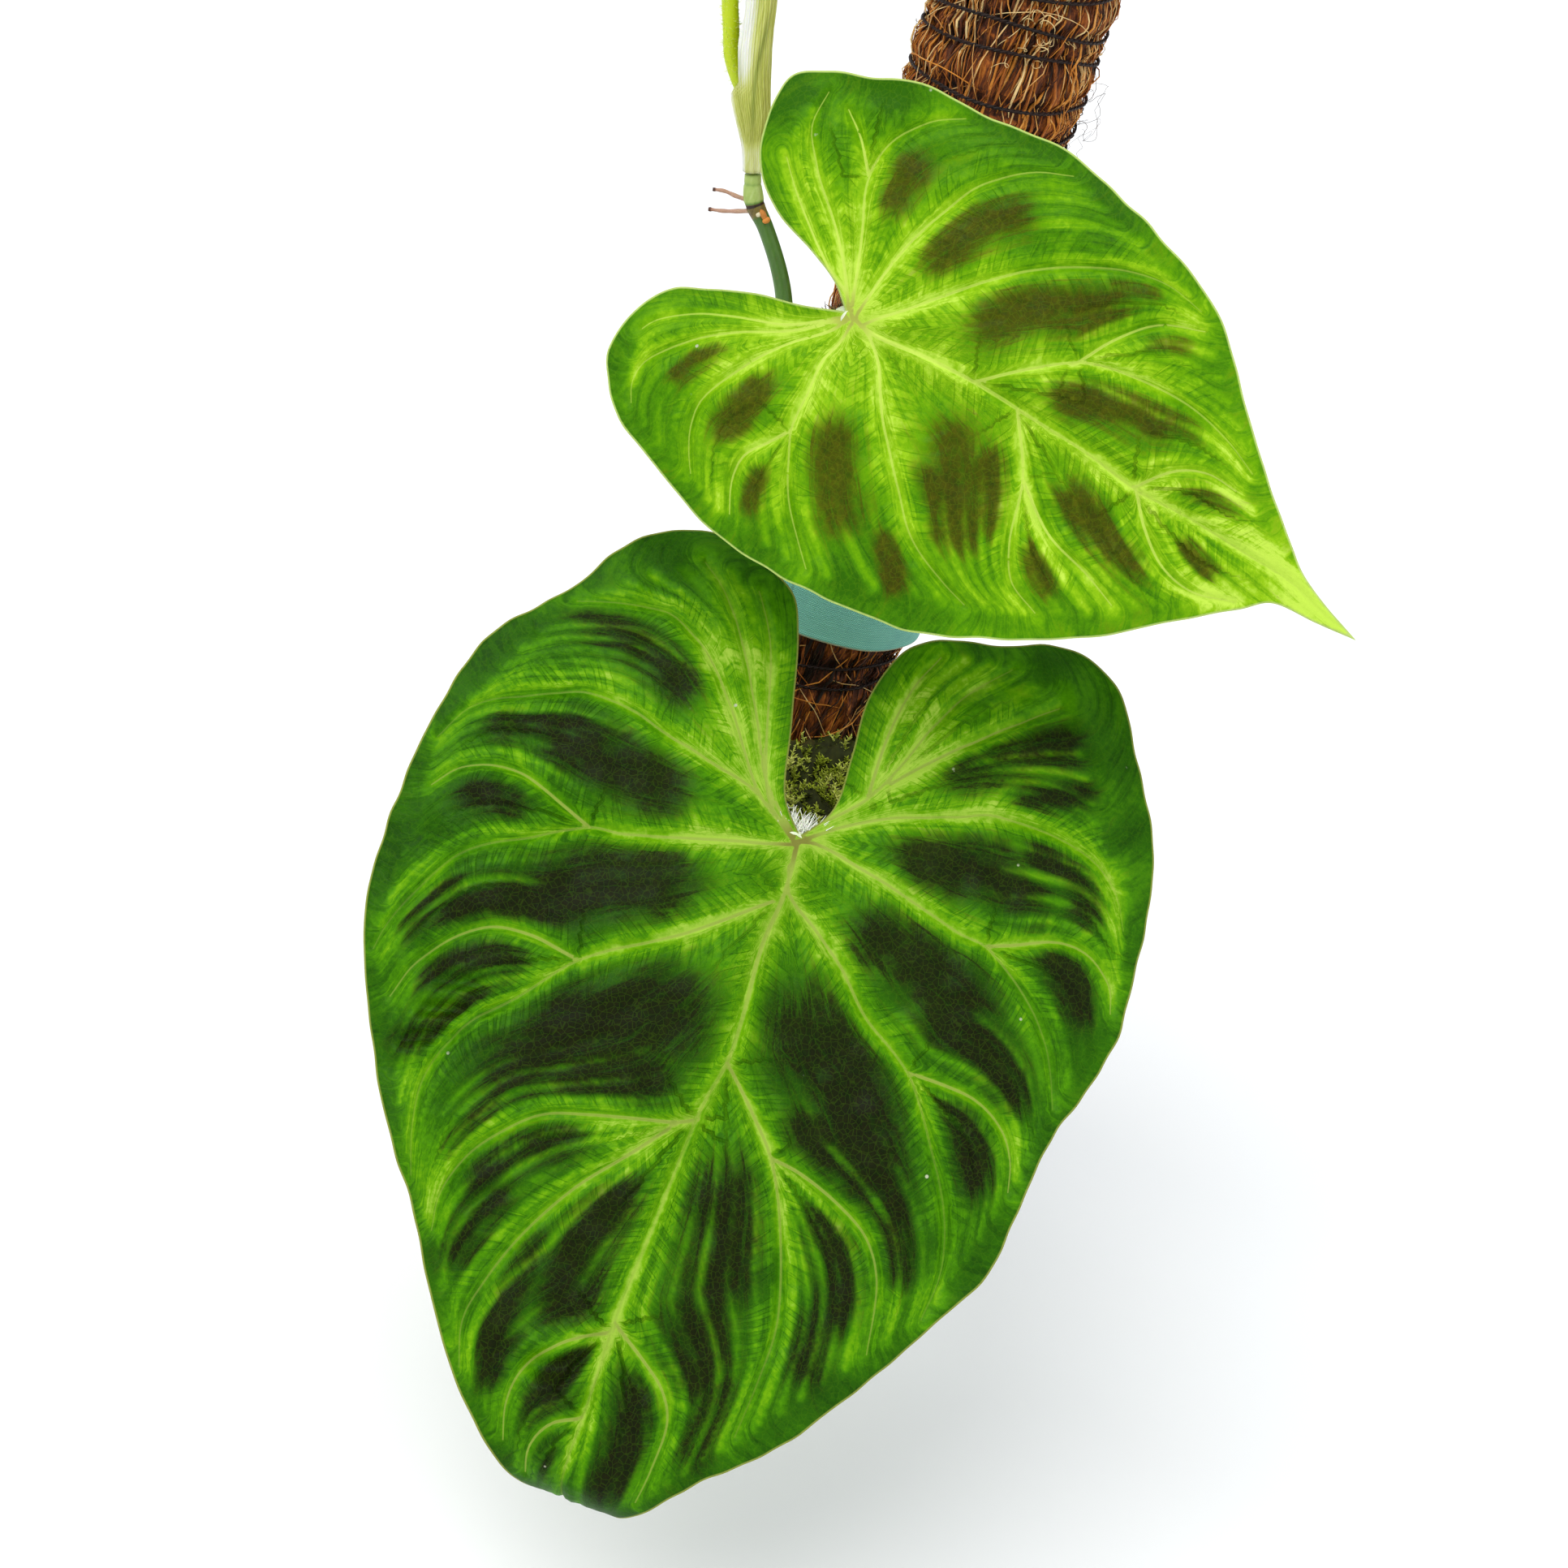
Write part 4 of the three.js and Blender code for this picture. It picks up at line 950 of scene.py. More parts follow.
def loose_hairs(count, steps, length, thick, tint, stand_out,
                angles=(0, FULL_TURN), heights=(200, POLE_TOP - 6)):
    """Curled hairs and rootlets that leave the pole and wander beside it."""
    draw = STRAND_DRAW
    t = np.linspace(0, 1, steps)
    size = draw.uniform(*length, count)[:, None]
    angle = draw.uniform(*angles, count)[:, None]
    z = draw.uniform(*heights, count)[:, None]
    phase = draw.uniform(0, FULL_TURN, (2, count, 1))
    curl = draw.uniform(1.0, 2.6, (count, 1))
    sideways = size * (draw.normal(0, 0.5, (count, 1)) * t + 0.12 * np.sin(FULL_TURN * curl * t + phase[0]))
    height = size * (draw.normal(0, 0.5, (count, 1)) * t + 0.12 * np.cos(FULL_TURN * curl * t + phase[1]))
    rise = draw.uniform(0.3, 1, (count, 1)) * stand_out * np.sin(0.8 * math.pi * t)
    turned_to = angle + sideways / COIR_RADIUS
    level = np.clip(z + height, 150, POLE_TOP + 2)
    lines = on_pole(turned_to, level, fibre_radius(turned_to, level) + 0.2 + rise)
    radii = thick * (1.05 - 0.6 * t) * np.ones((count, 1))
    return tubes(lines, radii, 3, (0.31, 0.17, 0.93)), tint


def coir_finish(name, spread):
    """Brown fibre that varies with the tint. spread is how much the grain adds."""
    f = Finish(name, Roughness=0.72, Specular_IOR_Level=0.3, Sheen_Weight=0.08, Sheen_Tint=(1, 0.75, 0.5, 1))
    where = f.stretched(f.place(), (1, 1, 0.18))
    grain = f.noise(where, 1400, 4, 0.7)
    blotch = f.noise(f.place(), 110, 2)
    tint = f.varied(f.field("tint"), grain, 4 * spread)
    tint = f.varied(tint, blotch, 0.5, clamp=True)
    stops = [(0.0, "190a03"), (0.26, "50220a"), (0.5, "a05416"), (0.75, "d68a30"), (1.0, "f2d294")]
    f.feed("Base Color", f.ramp(tint, stops))
    f.feed("Normal", f.bump(grain, 0.15, 0.7))
    return f.material


def wire():
    """Two dark wires twisted round each other, wound round the pole in one long helix."""
    steps_per_turn = 200
    steps = TURN_COUNT * steps_per_turn
    angle = np.linspace(0, FULL_TURN * TURN_COUNT, steps)
    z = winding_height(angle)
    radius = FIBRE_RADIUS + 0.5 + 0.35 * np.sin(3.1 * angle) + 0.25 * np.sin(7.3 * angle)
    core = on_pole(angle, z, radius)
    twist = angle * COIR_RADIUS * FULL_TURN / WIRE_TWIST_PITCH
    lines = []
    for start in (0, math.pi):
        swing = 0.8 * WIRE_STRAND_RADIUS * np.stack([np.cos(twist + start), np.sin(twist + start)], axis=-1)
        lines.append(core + swing[:, :1] * outwards(angle) + swing[:, 1:] * (0, 0, 1))
    f = Finish("wire", Metallic=0.35, Specular_IOR_Level=0.4)
    rust = f.noise(f.place(), 260, 4, 0.7)
    f.feed("Base Color", f.ramp(rust, [(0.3, "140c0a"), (0.65, "2c1812"), (0.85, "5a2e1a")]))
    f.feed("Roughness", f.between(rust, 0.3, 0.8, 0.42, 0.85))
    points, faces = tubes(lines, np.full((2, steps), WIRE_STRAND_RADIUS), 3, (0, 0, 1))
    piece("wound_wire", points, faces, [f.material], ["binding_wire"])


def stake():
    """The black tube in the middle of the pole, open at its top."""
    wall, depth, foot, top = 1.6, 22, 9, POLE_TOP + 3
    profile = rounded([(0.01, foot), (CORE_RADIUS, foot), (CORE_RADIUS, top), (CORE_RADIUS - wall, top),
                       (CORE_RADIUS - wall, top - depth), (0.01, top - depth)], (0, 1.5, 0.5, 0.5, 1, 0))
    f = Finish("stake", Specular_IOR_Level=0.45)
    scuff = f.noise(f.stretched(f.place(), (1, 1, 0.1)), 700, 4, 0.7)
    f.feed("Base Color", f.ramp(scuff, [(0.35, "0f1113"), (0.7, "232628")]))
    f.feed("Roughness", f.between(scuff, 0.35, 0.7, 0.38, 0.6))
    f.feed("Normal", f.bump(scuff, 0.05, 0.5))
    points, faces = turned(profile, 72, 0, POLE_Y)
    made = piece("stake_tube", points, faces, [f.material], ["pole_stake"])
    made.data.set_sharp_from_angle(angle=SHARP_ANGLE)


# Woven band round the pole and the stem

WEFT_PITCH, WARP_PITCH = 0.55, 0.62


def belt(offset, count):
    """The band's outline at an offset from what it holds: an arc round each, and the straights between."""
    pole = (np.array([0, POLE_Y]), WIRE_WINDING_RADIUS + 0.85)
    stem = (np.array(STEM_FOOT[:2]), STEM_RADIUS + 0.35)
    between = stem[0] - pole[0]
    heading = math.atan2(between[1], between[0])
    lean = math.acos((pole[1] - stem[1]) / np.linalg.norm(between))
    path = []
    for (centre, radius), start, end in ((pole, heading + lean, heading + FULL_TURN - lean),
                                         (stem, heading - lean, heading + lean)):
        for angle in np.linspace(start, end, 120):
            path.append(centre + (radius + offset) * np.array([math.cos(angle), math.sin(angle)]))
    return evenly(np.array([*path, path[0]]), count=count + 1)[:-1]


def band_finish():
    """Woven teal tape: weft and warp, a little soil, and a pale selvedge."""
    f = Finish("band", Roughness=0.8, Specular_IOR_Level=0.25, Sheen_Weight=0.15,
               Sheen_Tint=(0.7, 1, 0.95, 1))
    weft = f.maths("SINE", f.times(f.field("height"), FULL_TURN / WEFT_PITCH))
    warp = f.maths("SINE", f.times(f.field("run"), FULL_TURN / WARP_PITCH))
    knit = f.times(weft, warp)
    rib = f.between(f.plus(knit, f.times(weft, 0.5)), -1.2, 1.2)
    soil = f.noise(f.place(), 160, 4, 0.65)
    colour = f.ramp(rib, [(0.15, "4f9c90"), (0.5, "70b9a6"), (0.85, "9ed6c2")])
    colour = f.blended(f.between(soil, 0.45, 0.75, 0.0, 0.35), colour, paint("5d9c98"))
    to_edge = f.maths("MINIMUM", f.field("height"), f.minus(BAND_WIDTH, f.field("height")))
    colour = f.blended(f.between(to_edge, 0.8, 0.45), colour, paint("b7b292"))
    f.feed("Base Color", colour)
    f.feed("Normal", f.bump(rib, 0.16, 0.9))
    return f.material


def band():
    """The woven band, with a lap where its end is glued down."""
    columns, rows = 220, 46
    inner, outer = belt(0, columns), belt(BAND_THICKNESS, columns)
    z = np.linspace(0, BAND_WIDTH, rows)
    run = np.linspace(0, 1, columns, endpoint=False)
    lap = ease(run, 0.30, 0.305) * (1 - ease(run, 0.46, 0.49))
    away = outer - inner
    away /= np.linalg.norm(away, axis=1)[:, None]
    edge = np.minimum(z, BAND_WIDTH - z)
    selvedge = 0.18 * np.exp(-((edge - 0.9) / 0.6) ** 2) - 0.45 * np.exp(-edge / 0.3)
    weave = 0.05 * np.sin(FULL_TURN * z / 1.25)
    proud = (selvedge + weave)[:, None] + 0.9 * lap[None] + 0.12 * np.sin(FULL_TURN * 9 * run)[None]
    sag = 0.5 * np.sin(FULL_TURN * 2 * run + 0.6) + 0.25 * np.sin(FULL_TURN * 5 * run)
    level = BAND_BOTTOM + z[:, None] + sag[None] * 0.5
    front = np.concatenate([outer[None] + away[None] * proud[..., None], level[..., None]], axis=2)
    back = np.concatenate([np.broadcast_to(inner, front[..., :2].shape), level[..., None]], axis=2)
    points, faces = shell(front, back, True)
    length = np.linalg.norm(np.diff(outer, axis=0, append=outer[:1]), axis=1).sum()
    fields = {"run": np.tile(np.broadcast_to(run * length, (rows, columns)).ravel(), 2),
              "height": np.tile(np.broadcast_to(z[:, None], (rows, columns)).ravel(), 2)}
    piece("woven_band", points, faces, [band_finish()], ["tie_band"], fields)


# Moss, potting mix and pot

GOLDEN_SHARE = 0.382


def moss_height(x, y):
    """How high the moss lies above the mix. It heaps up against the pole."""
    lumps = np.sin(0.31 * x + 0.5) * np.cos(0.27 * y) + 0.6 * np.sin(0.19 * x - 0.23 * y + 1.7)
    heap_height, heap_start, heap_width = 4, 25.4, 14
    heap = heap_height * np.exp(-(np.hypot(x, y - POLE_Y) - heap_start) / heap_width)
    return 5 + 2.25 * lumps + np.minimum(heap, heap_height)


def moss_reach(angle):
    """How far out the moss grows from the pot's axis."""
    return 58 + 2 * np.sin(5 * angle) - 1.5 * np.sin(8 * angle + 1)


def moss_bed():
    """The lumpy mat of moss that covers the middle of the mix."""
    rings, sides = 40, 130
    angle = FULL_TURN * np.arange(sides)[None] / sides
    share = np.linspace(0.02, 1, rings)[:, None]
    reach = share * moss_reach(angle)
    x, y = reach * np.cos(angle), reach * np.sin(angle)
    height = moss_height(x, y) * (1 - ease(share, 0.86, 1)) + 1.2
    height = height - 1.6 + 0.9 * ripple(x, y, 5, 31) + 0.4 * ripple(x, y, 2, 32)
    top = np.stack([x, y, SOIL_LEVEL + np.maximum(height, 0.8)], axis=-1)
    bottom = np.stack([x, y, np.full_like(x, SOIL_LEVEL + 0.35)], axis=-1)
    return shell(top, bottom, True)


def add_moss_sprigs(heap):
    """Short stalks that lean about, each with small pointed leaves spiralling up it."""
    draw = np.random.default_rng(12)
    count, leaves, steps = 2500, 11, 4
    angle = draw.uniform(0, FULL_TURN, count)
    reach = np.sqrt(draw.uniform(0, 1, count)) * (moss_reach(angle) - 1.5)
    x, y = reach * np.cos(angle), reach * np.sin(angle)
    clear = (np.hypot(x, y - POLE_Y) > COIR_RADIUS) & (np.hypot(x - STEM_FOOT[0], y - STEM_FOOT[1]) > 4)
    x, y, count = x[clear], y[clear], int(clear.sum())
    clump = ripple(x, y, 9, 33)
    tall = np.clip(draw.uniform(2.2, 4.6, count) + 1.4 * clump, 1.4, 8)
    lean = draw.normal(0, 0.45, (count, 2)) * tall[:, None]
    foot = np.stack([x, y, SOIL_LEVEL + moss_height(x, y) * 0.8 - 1.2], axis=1)
    t = np.linspace(0, 1, steps)[None, :, None]
    tip = foot + np.concatenate([lean, tall[:, None]], axis=1)
    lines = foot[:, None] * (1 - t) + tip[:, None] * t
    lines[:, :, :2] += (lean[:, None] * 0.25) * (t * t - t)
    tint = np.clip(0.5 + 0.22 * clump + draw.normal(0, 0.14, count), 0.12, 1)
    stalks = tubes(lines, np.full((count, steps), 0.22), 3, (0.9, 0.1, 0.2))
    heap.add(stalks, along_tubes(tint[:, None] * np.ones(steps), 3))
    share = np.linspace(0.15, 1, leaves)[None] * np.ones((count, 1))
    base = foot[:, None] + (tip - foot)[:, None] * share[..., None]
    turn = FULL_TURN * (GOLDEN_SHARE * np.arange(leaves))[None] + draw.uniform(0, FULL_TURN, (count, 1))
    side = np.stack([-np.sin(turn), np.cos(turn), 0 * turn], axis=-1)
    out = np.stack([np.cos(turn), np.sin(turn), 0.75 + 0 * turn], axis=-1)
    size = draw.uniform(1.1, 2.1, (count, 1, 1)) * (1.15 - 0.5 * share[..., None])
    corners = [base + side * size * 0.38, base - side * size * 0.38,
               base + out * size * 0.5 + (0, 0, 0.22), base + out * size]
    points = np.stack(corners, axis=2).reshape(-1, 3)
    first = 4 * np.arange(count * leaves)[:, None]
    faces = np.vstack([first + np.array(face) for face in ((0, 2, 1), (0, 1, 3), (0, 3, 2), (1, 2, 3))])
    leaf_tints = np.repeat(np.repeat(tint, leaves), 4) + np.tile([0, 0, 0.06, 0.12], count * leaves)
    heap.add((points, faces), leaf_tints)


def moss():
    """The moss at the foot of the pole, as one piece."""
    heap = Heap()
    heap.add(moss_bed(), 0.1)
    add_moss_sprigs(heap)
    f = Finish("moss", Roughness=0.75, Specular_IOR_Level=0.25, Subsurface_Weight=0.1)
    soil = f.noise(f.place(), 420, 3)
    tint = f.varied(f.field("tint"), soil, 0.3, clamp=True)
    stops = [(0.0, "1c1a07"), (0.2, "3c420a"), (0.42, "7a8a12"), (0.68, "b0be2c"), (1.0, "dce06c")]
    f.feed("Base Color", f.ramp(tint, stops))
    f.feed("Normal", f.bump(soil, 0.25, 0.6))
    heap.made("moss_carpet", f.material, "moss", ["moss"])


def chips():
    """Bark and perlite that lie on the mix, in the ring which the moss leaves bare."""
    draw = np.random.default_rng(13)
    bark, stone = Heap(), Heap()
    corner = np.array([(x, y, z) for x in (-1, 1) for y in (-1, 1) for z in (-1, 1)], float)
    quads = [(0, 1, 3, 2), (4, 6, 7, 5), (0, 4, 5, 1), (2, 3, 7, 6), (0, 2, 6, 4), (1, 5, 7, 3)]
    triangles = np.array([face for a, b, c, d in quads for face in ((a, b, c), (a, c, d))])
    count, ring_inner, ring_outer, pot_wall_reach = 760, 53, 64.6, 65.4
    for k in range(count):
        angle, reach = draw.uniform(0, FULL_TURN), draw.uniform(ring_inner, ring_outer)
        is_stone = k % 6 == 0
        least, most = ((0.7, 0.7, 0.7), (1.5, 1.5, 1.5)) if is_stone else ((0.9, 0.7, 0.35), (2.9, 1.8, 0.8))
        size = draw.uniform(least, most)
        shape = corner * size + draw.normal(0, 0.18, (8, 3)) * size.mean()
        turn = Matrix.Rotation(draw.uniform(0, FULL_TURN), 3, "Z")
        turn = turn @ Matrix.Rotation(draw.normal(0, 0.4), 3, "X")
        reach = min(reach, pot_wall_reach - size[:2].max())
        place = (reach * math.cos(angle), reach * math.sin(angle), SOIL_LEVEL + size[2] * 0.6)
        shape = shape @ np.array(turn).T + place
        shape[:, 2] = np.maximum(shape[:, 2], SOIL_LEVEL - 0.4)
        (stone if is_stone else bark).add((shape, triangles), draw.uniform(0, 1))
    f = Finish("bark", Roughness=0.9, Specular_IOR_Level=0.2)
    grain = f.noise(f.stretched(f.place(), (1, 0.3, 1)), 900, 4, 0.7)
    tint = f.plus(f.times(f.field("tint"), 0.6), f.times(grain, 0.4))
    f.feed("Base Color", f.ramp(tint, [(0.2, "1d120b"), (0.5, "3d2415"), (0.85, "6d4427")]))
    f.feed("Normal", f.bump(grain, 0.3, 0.9))
    bark.made("bark_chips", f.material, "potting_mix")
    g = Finish("perlite", Roughness=0.9, Specular_IOR_Level=0.3)
    pores = g.noise(g.place(), 1500, 3, 0.7)
    g.feed("Base Color", g.ramp(pores, [(0.3, "b9b4a8"), (0.65, "e9e6de")]))
    g.feed("Normal", g.bump(pores, 0.2, 0.9))
    stone.made("perlite_grains", g.material, "potting_mix")


def soil_finish():
    """Dark crumbly potting mix, for the solid of the part's source."""
    f = Finish("soil", Roughness=0.95, Specular_IOR_Level=0.2)
    crumb = f.cells(f.place(), 420, "F1")
    grain = f.noise(f.place(), 700, 5, 0.7)
    f.feed("Base Color", f.ramp(grain, [(0.3, "130c07"), (0.55, "2c1b11"), (0.75, "4a3020")]))
    f.feed("Normal", f.bump(f.plus(crumb, grain), 0.9, 1.0))
    return f.material


def drill_drains(body):
    """Cuts the drainage holes through the pot's floor."""
    cutters = []
    profile = [(0.01, -2), (DRAIN_RADIUS, -2), (DRAIN_RADIUS, POT_FLOOR + 2), (0.01, POT_FLOOR + 2)]
    for k in range(DRAIN_COUNT):
        angle = FULL_TURN * k / DRAIN_COUNT
        place = DRAIN_CIRCLE * math.cos(angle), DRAIN_CIRCLE * math.sin(angle)
        cutter_points, cutter_faces = turned(profile, 32, *place)
        mesh = bpy.data.meshes.new("drain")
        mesh.from_pydata((cutter_points * MM).tolist(), [], cutter_faces.tolist())
        cutter = bpy.data.objects.new("drain", mesh)
        scene.collection.objects.link(cutter)
        modifier = body.modifiers.new("drain", "BOOLEAN")
        modifier.object, modifier.operation, modifier.solver = cutter, "DIFFERENCE", "EXACT"
        cutters.append(cutter)
    finished = bpy.data.meshes.new_from_object(body.evaluated_get(bpy.context.evaluated_depsgraph_get()))
    body.modifiers.clear()
    body.data = finished
    for cutter in cutters:
        bpy.data.objects.remove(cutter)


def pot():
    """A plain white nursery pot with a lip, an even wall and drainage holes."""
    def outer(z):
        return POT_BASE_RADIUS + (POT_RIM_RADIUS - LIP_PROUD - POT_BASE_RADIUS) * z / POT_HEIGHT

    lip = POT_HEIGHT - LIP_HEIGHT
    corners = [(0.01, 0), (POT_BASE_RADIUS, 0), (outer(lip), lip), (POT_RIM_RADIUS, lip + 0.6),
               (POT_RIM_RADIUS, POT_HEIGHT), (outer(POT_HEIGHT) - POT_WALL, POT_HEIGHT),
               (outer(POT_FLOOR) - POT_WALL, POT_FLOOR), (0.01, POT_FLOOR)]
    points, faces = turned(rounded(corners, (0, 1.6, 0.5, 1.2, 1.3, 1.3, 2, 0), 6), 160)
    f = Finish("pot", Specular_IOR_Level=0.5, Coat_Weight=0.1, Coat_Roughness=0.25)
    orange_peel = f.noise(f.place(), 420, 3, 0.5)
    stain = f.noise(f.stretched(f.place(), (1, 1, 0.5)), 30, 5, 0.65)
    f.feed("Base Color", f.ramp(stain, [(0.3, "e9e8e3"), (0.62, "f3f3f0")]))
    f.feed("Roughness", f.between(stain, 0.3, 0.7, 0.46, 0.36))
    f.feed("Normal", f.bump(orange_peel, 0.04, 0.5))
    body = piece("pot_body", points, faces, [f.material], ["pot"])
    drill_drains(body)
    body.data.set_sharp_from_angle(angle=SHARP_ANGLE)


# Stem, petioles and new growth

def behind(leaf, depth, back):
    """A place behind a blade's junction."""
    place = np.array(leaf["junction"]) - depth * np.array(leaf["facing"]) - back * np.array(leaf["along"])
    return tuple(place)


STEM_LINE = [STEM_FOOT, (*STEM_FOOT[:2], 130), (*STEM_FOOT[:2], 170), (*STEM_FOOT[:2], 207),
             (-29.8, 20.4, 228), (-34.8, 19.4, 249), (-38.6, 19.2, 257.5), (-45.4, 19, 267.8),
             (-49.4, 19, 272.4), (-51, 19, 275.9), (-52.1, 19, 279.9)]
LOWER_PETIOLE = [(-28.9, 16.7, 142), (-30, 4, 144), (-30, -25, 151), (-26, -62, 161), (-16, -97, 172),
                 (-3, -115, 177), behind(LOWER_LEAF, 5, 3.5), behind(LOWER_LEAF, 1.6, 1)]
UPPER_PETIOLE = [(-28.3, 15.4, 204), (-28.8, 2, 213), (-27.5, -22, 230), (-24.5, -48, 249), (-21, -68, 264),
                 (-18, -80, 275), behind(UPPER_LEAF, 5, 3.5), behind(UPPER_LEAF, 1.6, 1)]
YOUNG_PETIOLE = [(-52.5, 19, 281.2), (-54.4, 19, 288), (-56.3, 19, 292.5), (-58.3, 19, 296),
                 (-60.1, 19, 299.5), (-62.8, 19, 303), (-65.1, 18.8, 306.8), (-66.4, 18.6, 310.6),
                 (-67.5, 18.4, 314.4), (-69.2, 18, 320), (-74, 17, 344), (-77, 15.5, 366)]
ROLLED_LEAF = [(-76.9, 15.7, 364.6), (-77.2, 15.4, 367), (-79, 14, 384), (-80.5, 12, 404), (-81, 9, 428)]
AERIAL_ROOTS = [
    [(-51, 19, 273), (-54.6, 18.7, 273.1), (-58, 18.4, 273.5), (-61, 18, 273.1)],
    [(-49.4, 19, 270.8), (-52.7, 19.2, 269.5), (-57, 19.4, 268.1), (-60.8, 19.6, 267.3)],
]
# Knobs at the nodes: start, end, half thickness and tint
ROOT_NUBS = [
    ((-47.6, 17.2, 272.2), (-45.3, 16.8, 269.9), 0.8, 0.9),
    ((-45.9, 17, 270.6), (-44.8, 16.9, 269.4), 1.1, 1.0),
    ((-48.2, 17.1, 271.3), (-47.2, 17, 270.3), 0.75, 0.72),
    ((-31, 18.9, 201), (-30.2, 17.7, 199.8), 1.1, 0.95),
    ((-27.4, 18.4, 139.6), (-26.6, 17.2, 138.4), 1.2, 0.95),
]
NODE_HEIGHTS = (141, 203, 274)
STEM_PLANE_Y = 19
# x, z and radius of the leaf sheath, whose middle lies in the stem's plane
SHEATH_STATIONS = [(-52.3, 280.6, 2.6), (-53.2, 284, 2.75), (-54.3, 288, 3.2), (-55.7, 293, 4.3),
                   (-57.9, 298.5, 5), (-59.3, 302.5, 5.2), (-61.2, 310, 5.3), (-63.2, 322, 5.3),
                   (-66, 334, 4.6), (-69, 346, 3.2), (-71.5, 356, 1.2)]


def bristles(line, radius, count, length, thick, seed, share=(0, 1), steps=4, leaf=None):
    """Fleshy hairs that stand out from a stalk and bend towards its end."""
    draw = np.random.default_rng(seed)
    heading = np.gradient(line, axis=0)
    heading /= np.linalg.norm(heading, axis=1)[:, None]
    spot = draw.uniform(*share, count) * (len(line) - 1)
    whole = spot.astype(int).clip(0, len(line) - 2)
    part = (spot - whole)[:, None]
    place = line[whole] * (1 - part) + line[whole + 1] * part
    axis = heading[whole]
    out = draw.normal(0, 1, (count, 3))
    out -= (out * axis).sum(1)[:, None] * axis
    out /= np.linalg.norm(out, axis=1)[:, None]
    size = draw.uniform(*length, count)[:, None, None]
    bend = draw.normal(0, 0.35, (count, 1, 3)) + 0.35 * axis[:, None]
    t = np.linspace(0, 1, steps)[None, :, None]
    foot = place + out * (radius * 0.85)
    lines = foot[:, None] + size * (out[:, None] * t + bend * t * t)
    radii = thick * draw.uniform(0.7, 1.2, (count, 1)) * (1 - 0.8 * np.linspace(0, 1, steps) ** 1.5)
    if leaf is not None:
        clear = ((lines - np.array(leaf["junction"])) @ np.array(leaf["facing"])).max(1) < -1.6
        lines, radii, spot = lines[clear], radii[clear], spot[clear]
    return tubes(lines, radii, 3, (0.21, 0.34, 0.92)), spot / (len(line) - 1)


def stalk_finish(name, stops, roughness=0.45, hairy=0.12):
    """Smooth green skin, striped along its length, with colours by the tint."""
    f = Finish(name, Roughness=roughness, Specular_IOR_Level=0.4, Subsurface_Weight=hairy,
               Subsurface_Radius=(0.6 * MM, 1.2 * MM, 0.3 * MM))
    grain = f.noise(f.stretched(f.place(), (1, 1, 0.15)), 900, 4, 0.6)
    spots = f.noise(f.place(), 1300, 3, 0.6)
    tint = f.varied(f.field("tint"), grain, 0.25)
    tint = f.varied(tint, spots, 0.12, clamp=True)
    f.feed("Base Color", f.ramp(tint, stops))
    f.feed("Normal", f.bump(grain, 0.12, 0.5))
    return f.material


def stem():
    """The green stem, thicker at its nodes, each with a pale band and a ring scar."""
    line = even_line(STEM_LINE, 0.6)
    z = line[:, 2]
    radius = 3.2 - 0.8 * np.clip((z - 200) / 60, 0, 1) - 0.35
    tint = np.full(len(z), 0.3)
    for height in NODE_HEIGHTS:
        radius += 0.55 * np.exp(-((z - height) / 3.5) ** 2)
        radius -= 0.22 * np.exp(-((z - height + 1.2) / 0.35) ** 2)
        radius -= 0.16 * np.exp(-((z - height - 3.6) / 0.3) ** 2)
        tint += 0.5 * ease(z, height - 1.4, height - 0.4) * (1 - ease(z, height + 5, height + 9))
        tint -= 0.2 * ease(z, height - 4.5, height - 3.2) * (1 - ease(z, height - 1.4, height - 0.8))
        tint -= 0.7 * np.exp(-((z - height + 1.3) / 0.16) ** 2)
        tint -= 0.15 * np.exp(-((z - height - 3.6) / 0.35) ** 2)
    sides = 32
    angles = FULL_TURN * np.arange(sides) / sides
    radii = radius[:, None] + 0.06 * np.sin(9 * angles)[None] + 0.04 * np.sin(5 * angles + 1)[None]
    heap = Heap()
    heap.add(tubes([line], radii[None], sides, (0.3, 1, 0)), along_tubes(tint, sides))
    stops = [(0.0, "2a1c0c"), (0.12, "7a6a2c"), (0.27, "466c26"), (0.45, "5c8630"), (0.8, "a6bd62"),
             (1.0, "cfd8a0")]
    heap.made("stem_skin", stalk_finish("stem", stops), "stem", ["stem"])


def aerial_roots():
    """The two thin roots at the upper node, and the knobs at the nodes."""
    roots = Heap()
    for k, points in enumerate(AERIAL_ROOTS):
        root = even_line(points, 0.5)
        share = np.linspace(0, 1, len(root))
        thick = 0.65 - 0.23 * share + 0.05 * np.sin(19 * share + k)
        thick += 0.14 * np.exp(-((share - 0.96) / 0.03) ** 2)
        tint = 0.62 - 0.1 * share - 0.5 * (share > 0.93)
        roots.add(tubes([root], [thick], 14, (0, 1, 0.1)), along_tubes(tint, 14))
    for start, end, size, nub_tint in ROOT_NUBS:
        t = np.linspace(0, 1, 9)[:, None]
        line = np.array(start) * (1 - t) + np.array(end) * t
        thick = size * np.sqrt(np.maximum(0.02, 1 - (2 * t[:, 0] - 1) ** 2))
        roots.add(tubes([line], [thick], 12, (0, 0.3, 1)), nub_tint)
    stops = [(0.0, "4a2a1c"), (0.4, "a47660"), (0.62, "c49c84"), (0.72, "e4dcb8"), (0.85, "b0702c"),
             (1.0, "d88a34")]
    roots.made("aerial_roots", stalk_finish("aerial_root", stops, 0.6), "stem")


